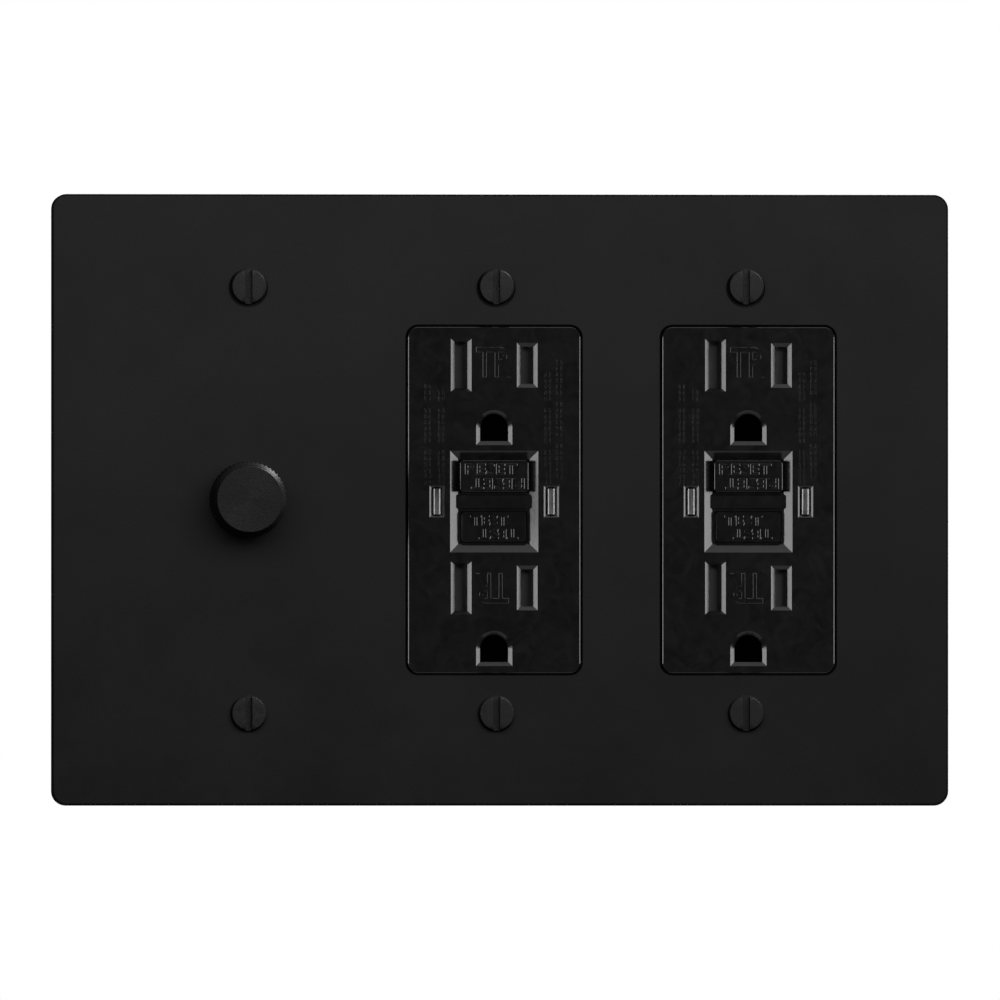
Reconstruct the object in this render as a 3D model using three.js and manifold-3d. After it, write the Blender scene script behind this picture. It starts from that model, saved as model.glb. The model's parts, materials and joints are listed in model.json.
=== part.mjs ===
// A three-gang metal wall plate with its devices: a push-and-turn dimmer and two
// ground-fault duplex outlets. Millimetres, +X right, +Y into the wall, +Z up.
// The origin is the centre of the plate on the wall surface, so the room side is -Y.

import * as THREE from 'three';
import { mergeVertices } from 'three/addons/utils/BufferGeometryUtils.js';
import Module from 'manifold-3d';

const wasm = await Module();
wasm.setup();

// ---------------------------------------------------------------- driving dimensions

const GAP = 0.3; // between pieces that meet
const OVERSHOOT = 1; // how far a cutting tool runs past a surface

const PLATE = { width: 172.5, height: 117.5, depth: 5, corner: 2.8, edge: 0.45, rim: 3, skin: 2 };
const PLATE_OPENING = { width: 33.9, height: 67.2, corner: 2.4 };
const KNOB_HOLE_RADIUS = 5;

// The plate screws stand in three columns. Each device is held through the wide slots
// in its strap, so its own centre line can sit a little to one side of its screws.
const SCREW_COLUMNS = { dimmer: -48.46, middle: -0.8, right: 47.27 };
const DIMMER_X = -48.75;
const OUTLETS = [{ name: 'middle', x: -1.22 }, { name: 'right', x: 47.72 }];

const FIXING_HEIGHT = 41; // plate screws above and below the centre line
const SCREW = { headRadius: 3.28, headHeight: 1.8, shankRadius: 1.7, length: 25, slot: 1.16, slotDepth: 0.95 };
const SCREW_HOLE_RADIUS = 2;
const BOSS = { radius: 4, standOff: 1.5 };

const STRAP = { width: 42.5, height: 105, thickness: 1.2, corner: 3, slotLength: 7.5, slotWidth: 4.2 };
const STRAP_WINDOW = { width: 34, height: 67.5, corner: 2.6 };
const STRAP_HOLE = { height: 48.4, radius: 1.5 };

const BODY = { width: 42.5, height: 68, corner: 2.5, back: 28, wall: 2.2, floor: 2 };
const BOARD = { width: 33, height: 56, thickness: 1.6 };

const FACE = { width: 33.1, height: 66.5, corner: 2, front: -5.4, wall: 2.5, edge: 0.25 };
const FACE_FLANGE = { front: GAP, thickness: 3 };
const FACE_CAVITY = { width: 29, height: 64, corner: 1.2 };

const BLADE_OFFSET = 6.35; // from the outlet's centre line to each blade
const OUTLET_BLADES = [25.9, -16.9]; // blade centre heights, upper and lower
const OUTLET_GROUNDS = [13.83, -28.63]; // ground pin arc centre heights
const LONG_SLOT = { width: 2.4, height: 8.9, mouthWidth: 3.9, mouthHeight: 10.1, chamfer: 0.8 };
const SHORT_SLOT = { width: 2.4, height: 7.1, mouthWidth: 4, mouthHeight: 8.6, chamfer: 0.8 };
const GROUND_HOLE = { radius: 2.7, drop: 2.5, chamfer: 0.78 };
const GROUND_SOCKET = { radius: 2.95, drop: 2.6, wall: 0.45, front: -2.5, back: 11 };

const WELL = { width: 17, height: 19.6, slope: 1.6, depth: 1.3, z: -0.3 };
const BAR = { height: 3.3, depth: 0.95, chamfer: 0.5, z: -0.3 };
const RESET = { width: 13.1, height: 6, z: 4.6, front: -5.5, hole: 0.2 };
const TEST = { width: 12.4, height: 5.8, z: -5.2, front: -4.45, hole: 0.2 };
const BUTTON = { flangeFront: -2.6, flangeBack: -1.6, flangeLip: 0.5, stemRadius: 1.2, stemEnd: 3 };
const SPRING_POST = { width: 8, height: 18, front: 8 };

const WINDOW = { x: 11, z: -0.3, width: 2.1, height: 5.3, chamfer: 0.4 };
const LENS = { width: 1.7, height: 4.9, front: -5.3, back: -1, lip: 0.5 };

const SHUTTER = { width: 22, height: 11, front: -2.6, back: -1.4, travel: 3.2 };
const CONTACT = { leafGap: 1.1, leaf: 0.5, leafHeight: 6.6, front: -0.9, base: 9, baseThickness: 0.8 };

const TERMINAL = { headRadius: 3.3, headHeight: 1.8, shankRadius: 1.7, y: 14, height: 12, recess: 2.6, side: 8 };
const GROUND_TERMINAL_X = 12;

const KNOB = {
  radius: 7.3, capRadius: 6.45, front: -17.8, ringFront: -14.9, back: -6.6, boreEnd: -14.4, boreRadius: 3.5,
};
const SHAFT = { radius: 3.15, front: -14, back: 9.2, flatFrom: -6.2, flat: 1.9 };
const BUSHING = { radius: 4.4, bore: 3.25, front: -4.6, flangeRadius: 6.5, flangeThickness: 1 };
const STRAP_BUSHING_HOLE = 4.8;
const NUT = { acrossFlats: 12.7, bore: 4.75, thickness: 1.2 };
const POTENTIOMETER = { radius: 12, bore: 3.7, front: 1.6, back: 9.6 };
const PLUNGER = { radius: 2.4, collarRadius: 5, front: 9.6, collarFront: 12, collarBack: 13, back: 17.6 };
const DIMMER_BOARD_FRONT = 20.5;
const OUTLET_BOARD_FRONT = 16;
const CHOKE = { radius: 6, thickness: 2.6, y: 14.2, z: -20 };

// ---------------------------------------------------------------- materials

const finish = (color, roughness, metalness) =>
  new THREE.MeshStandardMaterial({ color, roughness, metalness });
const MATERIALS = {
  blackMetal: () => finish(0x1f1f1f, 0.55, 0.2),
  blackScrew: () => finish(0x262626, 0.45, 0.4),
  blackPlastic: () => finish(0x141414, 0.35, 0),
  housingPlastic: () => finish(0x1b1b1b, 0.5, 0),
  shutterPlastic: () => finish(0x2c2c2c, 0.45, 0),
  lens: () => finish(0x3a3a3a, 0.15, 0),
  aluminium: () => finish(0xb4b6b8, 0.4, 0.9),
  steel: () => finish(0xa9abad, 0.35, 0.9),
  brass: () => finish(0xb58f48, 0.35, 0.9),
  greenScrew: () => finish(0x2f7a45, 0.35, 0.7),
  circuitBoard: () => finish(0x1f5a33, 0.5, 0),
  springWire: () => finish(0x9fa1a3, 0.3, 0.9),
  copper: () => finish(0xa5623a, 0.35, 0.8),
};

// ---------------------------------------------------------------- geometry helpers

function toSolid(geometry) {
  const bare = geometry.clone();
  bare.deleteAttribute('normal');
  bare.deleteAttribute('uv');
  const merged = mergeVertices(bare, 1e-4);
  return new wasm.Manifold(new wasm.Mesh({
    numProp: 3,
    vertProperties: new Float32Array(merged.attributes.position.array),
    triVerts: new Uint32Array(merged.index.array),
  }));
}

function toGeometry(solid) {
  const mesh = solid.getMesh();
  const geometry = new THREE.BufferGeometry();
  geometry.setAttribute('position', new THREE.BufferAttribute(new Float32Array(mesh.vertProperties), 3));
  geometry.setIndex(new THREE.BufferAttribute(new Uint32Array(mesh.triVerts), 1));
  geometry.computeVertexNormals();
  return geometry;
}

const joined = (...pieces) =>
  toGeometry(pieces.map(toSolid).reduce((whole, piece) => whole.add(piece)));

const cut = (base, ...tools) =>
  toGeometry(tools.map(toSolid).reduce((left, tool) => left.subtract(tool), toSolid(base)));

// A block given by its lowest and highest x, y and z.
function block([x0, x1], [y0, y1], [z0, z1]) {
  const geometry = new THREE.BoxGeometry(x1 - x0, y1 - y0, z1 - z0);
  return geometry.translate((x0 + x1) / 2, (y0 + y1) / 2, (z0 + z1) / 2);
}

const about = (centre, size) => [centre - size / 2, centre + size / 2];

function roundedRectangle(width, height, radius, path = new THREE.Shape()) {
  const x = width / 2 - radius;
  const z = height / 2 - radius;
  path.moveTo(x + radius, -z);
  path.absarc(x, z, radius, 0, Math.PI / 2);
  path.absarc(-x, z, radius, Math.PI / 2, Math.PI);
  path.absarc(-x, -z, radius, Math.PI, 1.5 * Math.PI);
  path.absarc(x, -z, radius, 1.5 * Math.PI, 2 * Math.PI);
  path.closePath();
  return path;
}

// An outline drawn in x and z, standing from y = back to y = front (front < back).
function slab(shape, back, front, curveSegments = 4) {
  const geometry = new THREE.ExtrudeGeometry(shape, {
    depth: back - front, bevelEnabled: false, curveSegments,
  });
  return geometry.rotateX(Math.PI / 2).translate(0, back, 0);
}

const roundedSlab = (size, back, front, curveSegments) =>
  slab(roundedRectangle(size.width, size.height, size.corner), back, front, curveSegments);

// A rounded slab whose front edge is broken by a chamfer.
function edgedSlab(size, back, front, edge, curveSegments = 4) {
  const shape = roundedRectangle(size.width, size.height, size.corner);
  const points = shape.extractPoints(curveSegments).shape;
  const inset = points.map((p) => {
    const shrinkX = (size.width - 2 * edge) / size.width;
    const shrinkZ = (size.height - 2 * edge) / size.height;
    return new THREE.Vector2(p.x * shrinkX, p.y * shrinkZ);
  });
  return joined(loft(points, front + edge, inset, front), loft(points, back, points, front + edge));
}

// A closed solid between two outlines with the same number of points, anticlockwise
// as seen from -Y: one at y = back, one at y = front.
function loft(backOutline, back, frontOutline, front) {
  const count = backOutline.length;
  const ring = (outline, y) => outline.map((p) => new THREE.Vector3(p.x, y, p.y));
  const points = [...ring(backOutline, back), ...ring(frontOutline, front)];
  const caps = THREE.ShapeUtils.triangulateShape(frontOutline, []);
  const faces = [];
  for (const [a, b, c] of caps) {
    faces.push(a + count, b + count, c + count, a, c, b);
  }
  for (let i = 0; i < count; i++) {
    const next = (i + 1) % count;
    faces.push(i, next, next + count, i, next + count, i + count);
  }
  const geometry = new THREE.BufferGeometry().setFromPoints(points);
  geometry.setIndex(faces);
  return geometry;
}

function rectangleOutline(width, height, x = 0, z = 0) {
  const corners = [[-1, -1], [1, -1], [1, 1], [-1, 1]];
  return corners.map(([i, k]) => new THREE.Vector2(x + i * width / 2, z + k * height / 2));
}

// A hole for a round-topped ground pin: an arc over a flat bottom.
function pinOutline(radius, drop, z, segments = 10) {
  const outline = [new THREE.Vector2(-radius, z - drop), new THREE.Vector2(radius, z - drop)];
  for (let i = 0; i <= segments; i++) {
    const angle = Math.PI * i / segments;
    outline.push(new THREE.Vector2(radius * Math.cos(angle), z + radius * Math.sin(angle)));
  }
  return outline;
}

// A piece turned about the Y axis. The profile is [radius, y] pairs.
function turned(profile, segments = 16) {
  const points = profile.map(([radius, y]) => new THREE.Vector2(radius, y));
  return new THREE.LatheGeometry(points, segments);
}

const rod = (radius, front, back, segments = 16) =>
  turned([[0, front], [radius, front], [radius, back], [0, back]], segments);

const ring = (inner, outer, front, back, segments = 16) =>
  turned([[inner, front], [outer, front], [outer, back], [inner, back], [inner, front]], segments);

class Helix extends THREE.Curve {
  constructor(radius, front, back, turns) {
    super();
    Object.assign(this, { radius, front, back, turns });
  }

  getPoint(t, target = new THREE.Vector3()) {
    const angle = 2 * Math.PI * this.turns * t;
    const y = this.front + (this.back - this.front) * t;
    return target.set(this.radius * Math.cos(angle), y, this.radius * Math.sin(angle));
  }
}

// A coil spring along Y that just fits between y = front and y = back.
function coilSpring(radius, wire, front, back, turns) {
  const section = new THREE.Shape();
  section.absarc(0, 0, wire, 0, 2 * Math.PI);
  const path = new Helix(radius, front + wire * 1.3, back - wire * 1.3, turns);
  return new THREE.ExtrudeGeometry(section, {
    steps: turns * 8, curveSegments: 2, bevelEnabled: false, extrudePath: path,
  });
}

function add(group, name, geometry, material) {
  const mesh = new THREE.Mesh(geometry, material);
  mesh.name = name;
  group.add(mesh);
  return mesh;
}

// ---------------------------------------------------------------- plate and its screws

function columnGroup(x) {
  const group = new THREE.Group();
  group.position.x = x;
  return group;
}


function facePlate() {
  const inside = {
    width: PLATE.width - 2 * PLATE.rim,
    height: PLATE.height - 2 * PLATE.rim,
    corner: PLATE.corner / 2,
  };
  const pocketFront = -PLATE.depth + PLATE.skin;
  const bosses = [];
  const holes = [];
  for (const x of Object.values(SCREW_COLUMNS)) {
    for (const z of [-FIXING_HEIGHT, FIXING_HEIGHT]) {
      bosses.push(rod(BOSS.radius, pocketFront - OVERSHOOT, -BOSS.standOff, 10).translate(x, 0, z));
      holes.push(rod(SCREW_HOLE_RADIUS, -PLATE.depth - OVERSHOOT, OVERSHOOT, 12).translate(x, 0, z));
    }
  }
  const pocket = cut(roundedSlab(inside, OVERSHOOT, pocketFront, 2), ...bosses);
  const through = [-PLATE.depth - OVERSHOOT, OVERSHOOT];
  const openings = OUTLETS.map(({ x }) =>
    roundedSlab(PLATE_OPENING, through[1], through[0]).translate(x, 0, 0));
  const knobHole = rod(KNOB_HOLE_RADIUS, through[0], through[1], 24).translate(DIMMER_X, 0, 0);
  const outer = edgedSlab(PLATE, 0, -PLATE.depth, PLATE.edge, 5);
  return cut(outer, pocket, ...openings, knobHole, ...holes);
}

// A round slotted head on a plain shank, with the head's underside at y = 0.
function slottedScrew({ headRadius, headHeight, shankRadius, length, slot, slotDepth }) {
  const bevel = headHeight * 0.22;
  const tip = shankRadius * 0.4;
  const body = turned([
    [0, -headHeight], [headRadius - bevel, -headHeight], [headRadius, -headHeight + bevel],
    [headRadius, 0], [shankRadius, 0], [shankRadius, length - tip],
    [shankRadius - tip, length], [0, length],
  ], 12);
  const span = headRadius + OVERSHOOT;
  const groove = block(about(0, slot), [-headHeight - OVERSHOOT, -headHeight + slotDepth], [-span, span]);
  return cut(body, groove);
}

function plateWithScrews() {
  const group = new THREE.Group();
  add(group, 'face_plate', facePlate(), MATERIALS.blackMetal());
  for (const [name, x] of Object.entries(SCREW_COLUMNS)) {
    for (const [end, z] of [['top', FIXING_HEIGHT], ['bottom', -FIXING_HEIGHT]]) {
      const screw = add(group, `plate_screw_${name}_${end}`, slottedScrew(SCREW), MATERIALS.blackScrew());
      screw.position.set(x, -PLATE.depth - 0.05, z);
    }
  }
  return group;
}

// ---------------------------------------------------------------- pieces shared by the devices

// The metal yoke that carries a device, lying on the wall surface.
function strap(middleHole) {
  const shape = roundedRectangle(STRAP.width, STRAP.height, STRAP.corner);
  const slots = [-FIXING_HEIGHT, FIXING_HEIGHT].map((z) => {
    const size = { width: STRAP.slotLength, height: STRAP.slotWidth, corner: STRAP.slotWidth / 2 };
    return roundedSlab(size, OVERSHOOT, -STRAP.thickness - OVERSHOOT, 3).translate(0, 0, z);
  });
  const taps = [-STRAP_HOLE.height, STRAP_HOLE.height].map((z) =>
    rod(STRAP_HOLE.radius, -STRAP.thickness - OVERSHOOT, OVERSHOOT, 10).translate(0, 0, z));
  return cut(slab(shape, 0, -STRAP.thickness, 3), middleHole, ...slots, ...taps);
}

// Wall blocks that carry the side terminal screws, as [side, height].
const TERMINAL_PLACES = {
  hot: [[1, TERMINAL.height], [1, -TERMINAL.height]],
  neutral: [[-1, TERMINAL.height], [-1, -TERMINAL.height]],
};

// A rear housing: a tub that is open at the front, with pockets for its terminal screws.
function rearHousing(front, sidePlaces, { groundTerminal = false, post = false } = {}) {
  const inner = { width: BODY.width - 2 * BODY.wall, height: BODY.height - 2 * BODY.wall, corner: 1.5 };
  const depth = about(TERMINAL.y, TERMINAL.side);
  const blockDepth = about(TERMINAL.y, TERMINAL.side + 2);
  const innerX = inner.width / 2;
  const outerX = BODY.width / 2;
  const keep = [];
  const recesses = [];
  for (const [side, z] of sidePlaces) {
    const reach = [side * (innerX - 2), side * (innerX + OVERSHOOT)].sort((a, b) => a - b);
    const pocket = [side * (outerX - TERMINAL.recess), side * (outerX + OVERSHOOT)].sort((a, b) => a - b);
    keep.push(block(reach, blockDepth, about(z, TERMINAL.side + 2)));
    recesses.push(block(pocket, depth, about(z, TERMINAL.side)));
    recesses.push(rod(TERMINAL.shankRadius + GAP, 0, 8, 12).rotateZ(-Math.PI / 2)
      .translate(side > 0 ? outerX - 8 : -outerX, TERMINAL.y, z));
  }
  if (groundTerminal) {
    const innerZ = inner.height / 2;
    const outerZ = BODY.height / 2;
    const x = about(GROUND_TERMINAL_X, TERMINAL.side);
    keep.push(block(about(GROUND_TERMINAL_X, TERMINAL.side + 2), blockDepth, [-innerZ - OVERSHOOT, -innerZ + 2]));
    recesses.push(block(x, depth, [-outerZ - OVERSHOOT, -outerZ + TERMINAL.recess]));
    recesses.push(rod(TERMINAL.shankRadius + GAP, 0, 8, 12).rotateX(Math.PI / 2)
      .translate(GROUND_TERMINAL_X, TERMINAL.y, -outerZ));
  }
  if (post) {
    keep.push(block(about(0, SPRING_POST.width), [SPRING_POST.front, BODY.back],
      about(0, SPRING_POST.height)));
  }
  const cavity = cut(roundedSlab(inner, BODY.back - BODY.floor, front - OVERSHOOT, 3), ...keep);
  return cut(roundedSlab(BODY, BODY.back, front, 4), cavity, ...recesses);
}

function terminalScrew() {
  const shape = { ...TERMINAL, length: 5, slot: 1.1, slotDepth: 0.9 };
  return slottedScrew(shape);
}

// Puts a terminal screw in its pocket on the +X or -X side of a housing.
function addSideTerminal(group, name, [side, z], material) {
  const screw = add(group, name, terminalScrew(), material);
  screw.rotation.z = side * Math.PI / 2;
  screw.position.set(side * (BODY.width / 2 - TERMINAL.recess + GAP), TERMINAL.y, z);
}

function circuitBoard(front, hole) {
  const panel = block(about(0, BOARD.width), [front, front + BOARD.thickness], about(0, BOARD.height));
  if (!hole) {
    return panel;
  }
  return cut(panel, block(about(0, hole.width), [front - OVERSHOOT, front + BOARD.thickness + OVERSHOOT],
    about(0, hole.height)));
}

// ---------------------------------------------------------------- dimmer

function bushing() {
  const { radius, bore, front, flangeRadius, flangeThickness } = BUSHING;
  return turned([
    [bore, front], [radius, front], [radius, GAP], [flangeRadius, GAP],
    [flangeRadius, GAP + flangeThickness], [bore, GAP + flangeThickness], [bore, front],
  ], 24);
}

function bushingNut() {
  const corner = NUT.acrossFlats / 2 / Math.cos(Math.PI / 6);
  const back = -STRAP.thickness - GAP;
  return cut(rod(corner, back - NUT.thickness, back, 6), rod(NUT.bore, back - 3, back + 1, 24));
}

function shaft() {
  const { radius, front, back, flatFrom, flat } = SHAFT;
  const whole = turned([[0, front], [radius - 0.3, front], [radius, front + 0.3], [radius, back], [0, back]], 24);
  return cut(whole, block(about(0, 4 * radius), [front - OVERSHOOT, flatFrom], [flat, 2 * radius]));
}

function knob() {
  const { radius, capRadius, front, ringFront, back, boreEnd, boreRadius } = KNOB;
  return turned([
    [0, front], [capRadius - 0.3, front], [capRadius, front + 0.3], [capRadius, ringFront],
    [radius - 0.25, ringFront], [radius, ringFront + 0.25], [radius, back - 0.5], [radius - 0.5, back],
    [boreRadius, back], [boreRadius, boreEnd], [0, boreEnd],
  ], 36);
}

function potentiometer() {
  const { radius, bore, front, back } = POTENTIOMETER;
  const legs = block(about(0, 11), [front + 2, back - 2], [-radius - 3, -radius + 2]);
  return joined(ring(bore, radius, front, back, 24), legs);
}

function switchPlunger() {
  const { radius, collarRadius, front, collarFront, collarBack, back } = PLUNGER;
  return turned([
    [0, front], [radius, front], [radius, collarFront], [collarRadius, collarFront],
    [collarRadius, collarBack], [radius, collarBack], [radius, back], [0, back],
  ], 16);
}

function chokeCoil() {
  const { radius, thickness, y } = CHOKE;
  const profile = [];
  const sides = 8;
  for (let i = 0; i <= sides; i++) {
    const angle = 2 * Math.PI * i / sides;
    profile.push([radius + thickness * Math.cos(angle), y + thickness * Math.sin(angle)]);
  }
  return turned(profile, 16);
}

function dimmer() {
  const group = columnGroup(DIMMER_X);
  const strapHole = rod(STRAP_BUSHING_HOLE, -STRAP.thickness - OVERSHOOT, OVERSHOOT, 24);
  add(group, 'dimmer_strap', strap(strapHole), MATERIALS.aluminium());
  add(group, 'dimmer_housing', rearHousing(GAP, TERMINAL_PLACES.neutral), MATERIALS.housingPlastic());
  add(group, 'dimmer_bushing', bushing(), MATERIALS.brass());
  add(group, 'dimmer_bushing_nut', bushingNut(), MATERIALS.steel());
  add(group, 'dimmer_shaft', shaft(), MATERIALS.steel());
  add(group, 'dimmer_knob', knob(), MATERIALS.blackMetal());
  add(group, 'dimmer_potentiometer', potentiometer(), MATERIALS.steel());
  add(group, 'dimmer_switch_plunger', switchPlunger(), MATERIALS.shutterPlastic());
  const spring = coilSpring(3.8, 0.35, PLUNGER.collarBack + GAP, DIMMER_BOARD_FRONT - GAP, 4);
  add(group, 'dimmer_plunger_spring', spring, MATERIALS.springWire());
  add(group, 'dimmer_circuit_board', circuitBoard(DIMMER_BOARD_FRONT), MATERIALS.circuitBoard());
  add(group, 'dimmer_choke_coil', chokeCoil(), MATERIALS.copper()).position.z = CHOKE.z;
  const [upper, lower] = TERMINAL_PLACES.neutral;
  addSideTerminal(group, 'dimmer_upper_terminal_screw', upper, MATERIALS.brass());
  addSideTerminal(group, 'dimmer_lower_terminal_screw', lower, MATERIALS.brass());
  return group;
}

// ---------------------------------------------------------------- outlets

// The tool for a blade slot: a straight slot behind a chamfered mouth.
function slotTool(size, x, z) {
  const throat = FACE.front + size.chamfer;
  const steep = OVERSHOOT * 0.2 / size.chamfer;
  const growX = (size.mouthWidth - size.width) * steep;
  const growZ = (size.mouthHeight - size.height) * steep;
  const mouth = rectangleOutline(size.mouthWidth + growX, size.mouthHeight + growZ, x, z);
  const neck = rectangleOutline(size.width, size.height, x, z);
  return joined(
    loft(neck, throat, mouth, FACE.front - 0.2),
    block(about(x, size.width), [throat - 0.1, OVERSHOOT], about(z, size.height)),
  );
}

function groundHoleTool(z) {
  const { radius, drop, chamfer } = GROUND_HOLE;
  const throat = FACE.front + chamfer;
  const neck = pinOutline(radius, drop, z);
  const mouth = pinOutline(radius + chamfer + 0.2, drop + chamfer + 0.2, z);
  return joined(loft(neck, throat, mouth, FACE.front - 0.2), loft(neck, OVERSHOOT, neck, throat - 0.1));
}

// The sloped well around the two buttons, less the bar that crosses it between them.
function wellTool() {
  const floor = FACE.front + WELL.depth;
  const over = 0.2;
  const grow = over * WELL.slope / WELL.depth;
  const mouth = rectangleOutline(WELL.width + 2 * grow, WELL.height + 2 * grow, 0, WELL.z);
  const bottom = rectangleOutline(WELL.width - 2 * WELL.slope, WELL.height - 2 * WELL.slope, 0, WELL.z);
  const top = FACE.front + BAR.depth;
  const bar = joined(
    loft(rectangleOutline(WELL.width + 2, BAR.height, 0, BAR.z), top + BAR.chamfer,
      rectangleOutline(WELL.width + 2, BAR.height - 2 * BAR.chamfer, 0, BAR.z), top),
    block(about(0, WELL.width + 2), [top + BAR.chamfer - 0.05, floor + OVERSHOOT], about(BAR.z, BAR.height)),
  );
  return cut(loft(bottom, floor, mouth, FACE.front - over), bar);
}

const buttonHole = ({ width, height, z, hole }) =>
  block(about(0, width + 2 * hole), [FACE.front + WELL.depth / 2, OVERSHOOT], about(z, height + 2 * hole));

function windowTool(x) {
  const { z, width, height, chamfer } = WINDOW;
  const throat = FACE.front + chamfer;
  const over = 0.2;
  const grow = 2 * (chamfer + over);
  return joined(
    loft(rectangleOutline(width, height, x, z), throat,
      rectangleOutline(width + grow, height + grow, x, z), FACE.front - over),
    block(about(x, width), [throat - 0.1, OVERSHOOT], about(z, height)),
  );
}

function outletFace() {
  const flangeSize = { width: BODY.width, height: BODY.height, corner: BODY.corner };
  const flangeBack = FACE_FLANGE.front + FACE_FLANGE.thickness;
  const whole = joined(
    edgedSlab(FACE, FACE_FLANGE.front + OVERSHOOT, FACE.front, FACE.edge),
    roundedSlab(flangeSize, flangeBack, FACE_FLANGE.front, 4),
  );
  const cavity = roundedSlab(FACE_CAVITY, flangeBack + OVERSHOOT, FACE.front + FACE.wall, 2);
  const slots = OUTLET_BLADES.flatMap((z) => [
    slotTool(LONG_SLOT, -BLADE_OFFSET, z),
    slotTool(SHORT_SLOT, BLADE_OFFSET, z),
  ]);
  return cut(whole, cavity, ...slots, ...OUTLET_GROUNDS.map(groundHoleTool), wellTool(),
    buttonHole(RESET), buttonHole(TEST), windowTool(-WINDOW.x), windowTool(WINDOW.x));
}

function pushButton({ width, height, z, front }) {
  const { flangeFront, flangeBack, flangeLip, stemRadius, stemEnd } = BUTTON;
  const edge = 0.25;
  const cap = loft(rectangleOutline(width, height, 0, z), front + edge,
    rectangleOutline(width - 2 * edge, height - 2 * edge, 0, z), front);
  const body = block(about(0, width), [front + edge, flangeFront + 0.1], about(z, height));
  const flange = block(about(0, width + 2 * flangeLip), [flangeFront, flangeBack],
    about(z, height + 2 * flangeLip));
  const stem = rod(stemRadius, flangeBack - 0.2, stemEnd, 12).translate(0, 0, z);
  return joined(cap, body, flange, stem);
}

const buttonSpring = (z) =>
  coilSpring(2.1, 0.3, BUTTON.flangeBack + GAP, SPRING_POST.front - GAP, 4).translate(0, 0, z);

// A tamper shutter. At rest its blank places cover the blade slots, and its two
// windows line up with them once it has slid by its travel.
function shutter(z) {
  const { width, height, front, back, travel } = SHUTTER;
  const plate = block(about(-travel / 2, width), [front, back], about(z, height));
  const windows = [-BLADE_OFFSET, BLADE_OFFSET].map((x) =>
    block(about(x - travel, LONG_SLOT.width + 0.3), [front - OVERSHOOT, back + OVERSHOOT],
      about(z, LONG_SLOT.height + 0.5)));
  return cut(plate, ...windows);
}

function indicatorLens(x) {
  const { width, height, front, back, lip } = LENS;
  const flange = block(about(x, width + 2 * lip), [BUTTON.flangeFront, BUTTON.flangeBack],
    about(WINDOW.z, height + 2 * lip));
  return joined(block(about(x, width), [front, back], about(WINDOW.z, height)), flange);
}

// The spring-leaf bus bar that grips the blades on one side of both outlets.
function bladeContact(side) {
  const { leafGap, leaf, leafHeight, front, base, baseThickness } = CONTACT;
  const place = (low, high) => [side * low, side * high].sort((a, b) => a - b);
  const pieces = [
    block(place(4.6, 12.6), [base, base + baseThickness], [OUTLET_BLADES[1] - 5, OUTLET_BLADES[0] + 5]),
    block(place(12, 12.8), [base, base + 6], about(0, 2 * TERMINAL.height + 6)),
  ];
  for (const z of OUTLET_BLADES) {
    for (const inner of [BLADE_OFFSET - leafGap / 2 - leaf, BLADE_OFFSET + leafGap / 2]) {
      pieces.push(block(place(inner, inner + leaf), [front, base + 0.2], about(z, leafHeight)));
    }
  }
  return joined(...pieces);
}

// The two ground sockets on their strip, which passes beside the button springs.
function groundContact() {
  const { radius, drop, wall, front, back } = GROUND_SOCKET;
  const stripBack = back + CONTACT.baseThickness;
  const [upper, lower] = OUTLET_GROUNDS;
  const sockets = OUTLET_GROUNDS.map((z) => {
    const outer = pinOutline(radius + wall, drop + wall, z);
    const inner = pinOutline(radius, drop, z);
    return cut(loft(outer, back + 0.2, outer, front), loft(inner, back + OVERSHOOT, inner, front - OVERSHOOT));
  });
  const armX = [-7.5, 3];
  return joined(
    ...sockets,
    block(armX, [back, stripBack], [SPRING_POST.height / 2 + 1, upper + 3]),
    block([-7.5, -4.6], [back, stripBack], [lower + 2, upper]),
    block(armX, [back, stripBack], [lower - 2.9, -SPRING_POST.height / 2 - 1]),
  );
}

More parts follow.
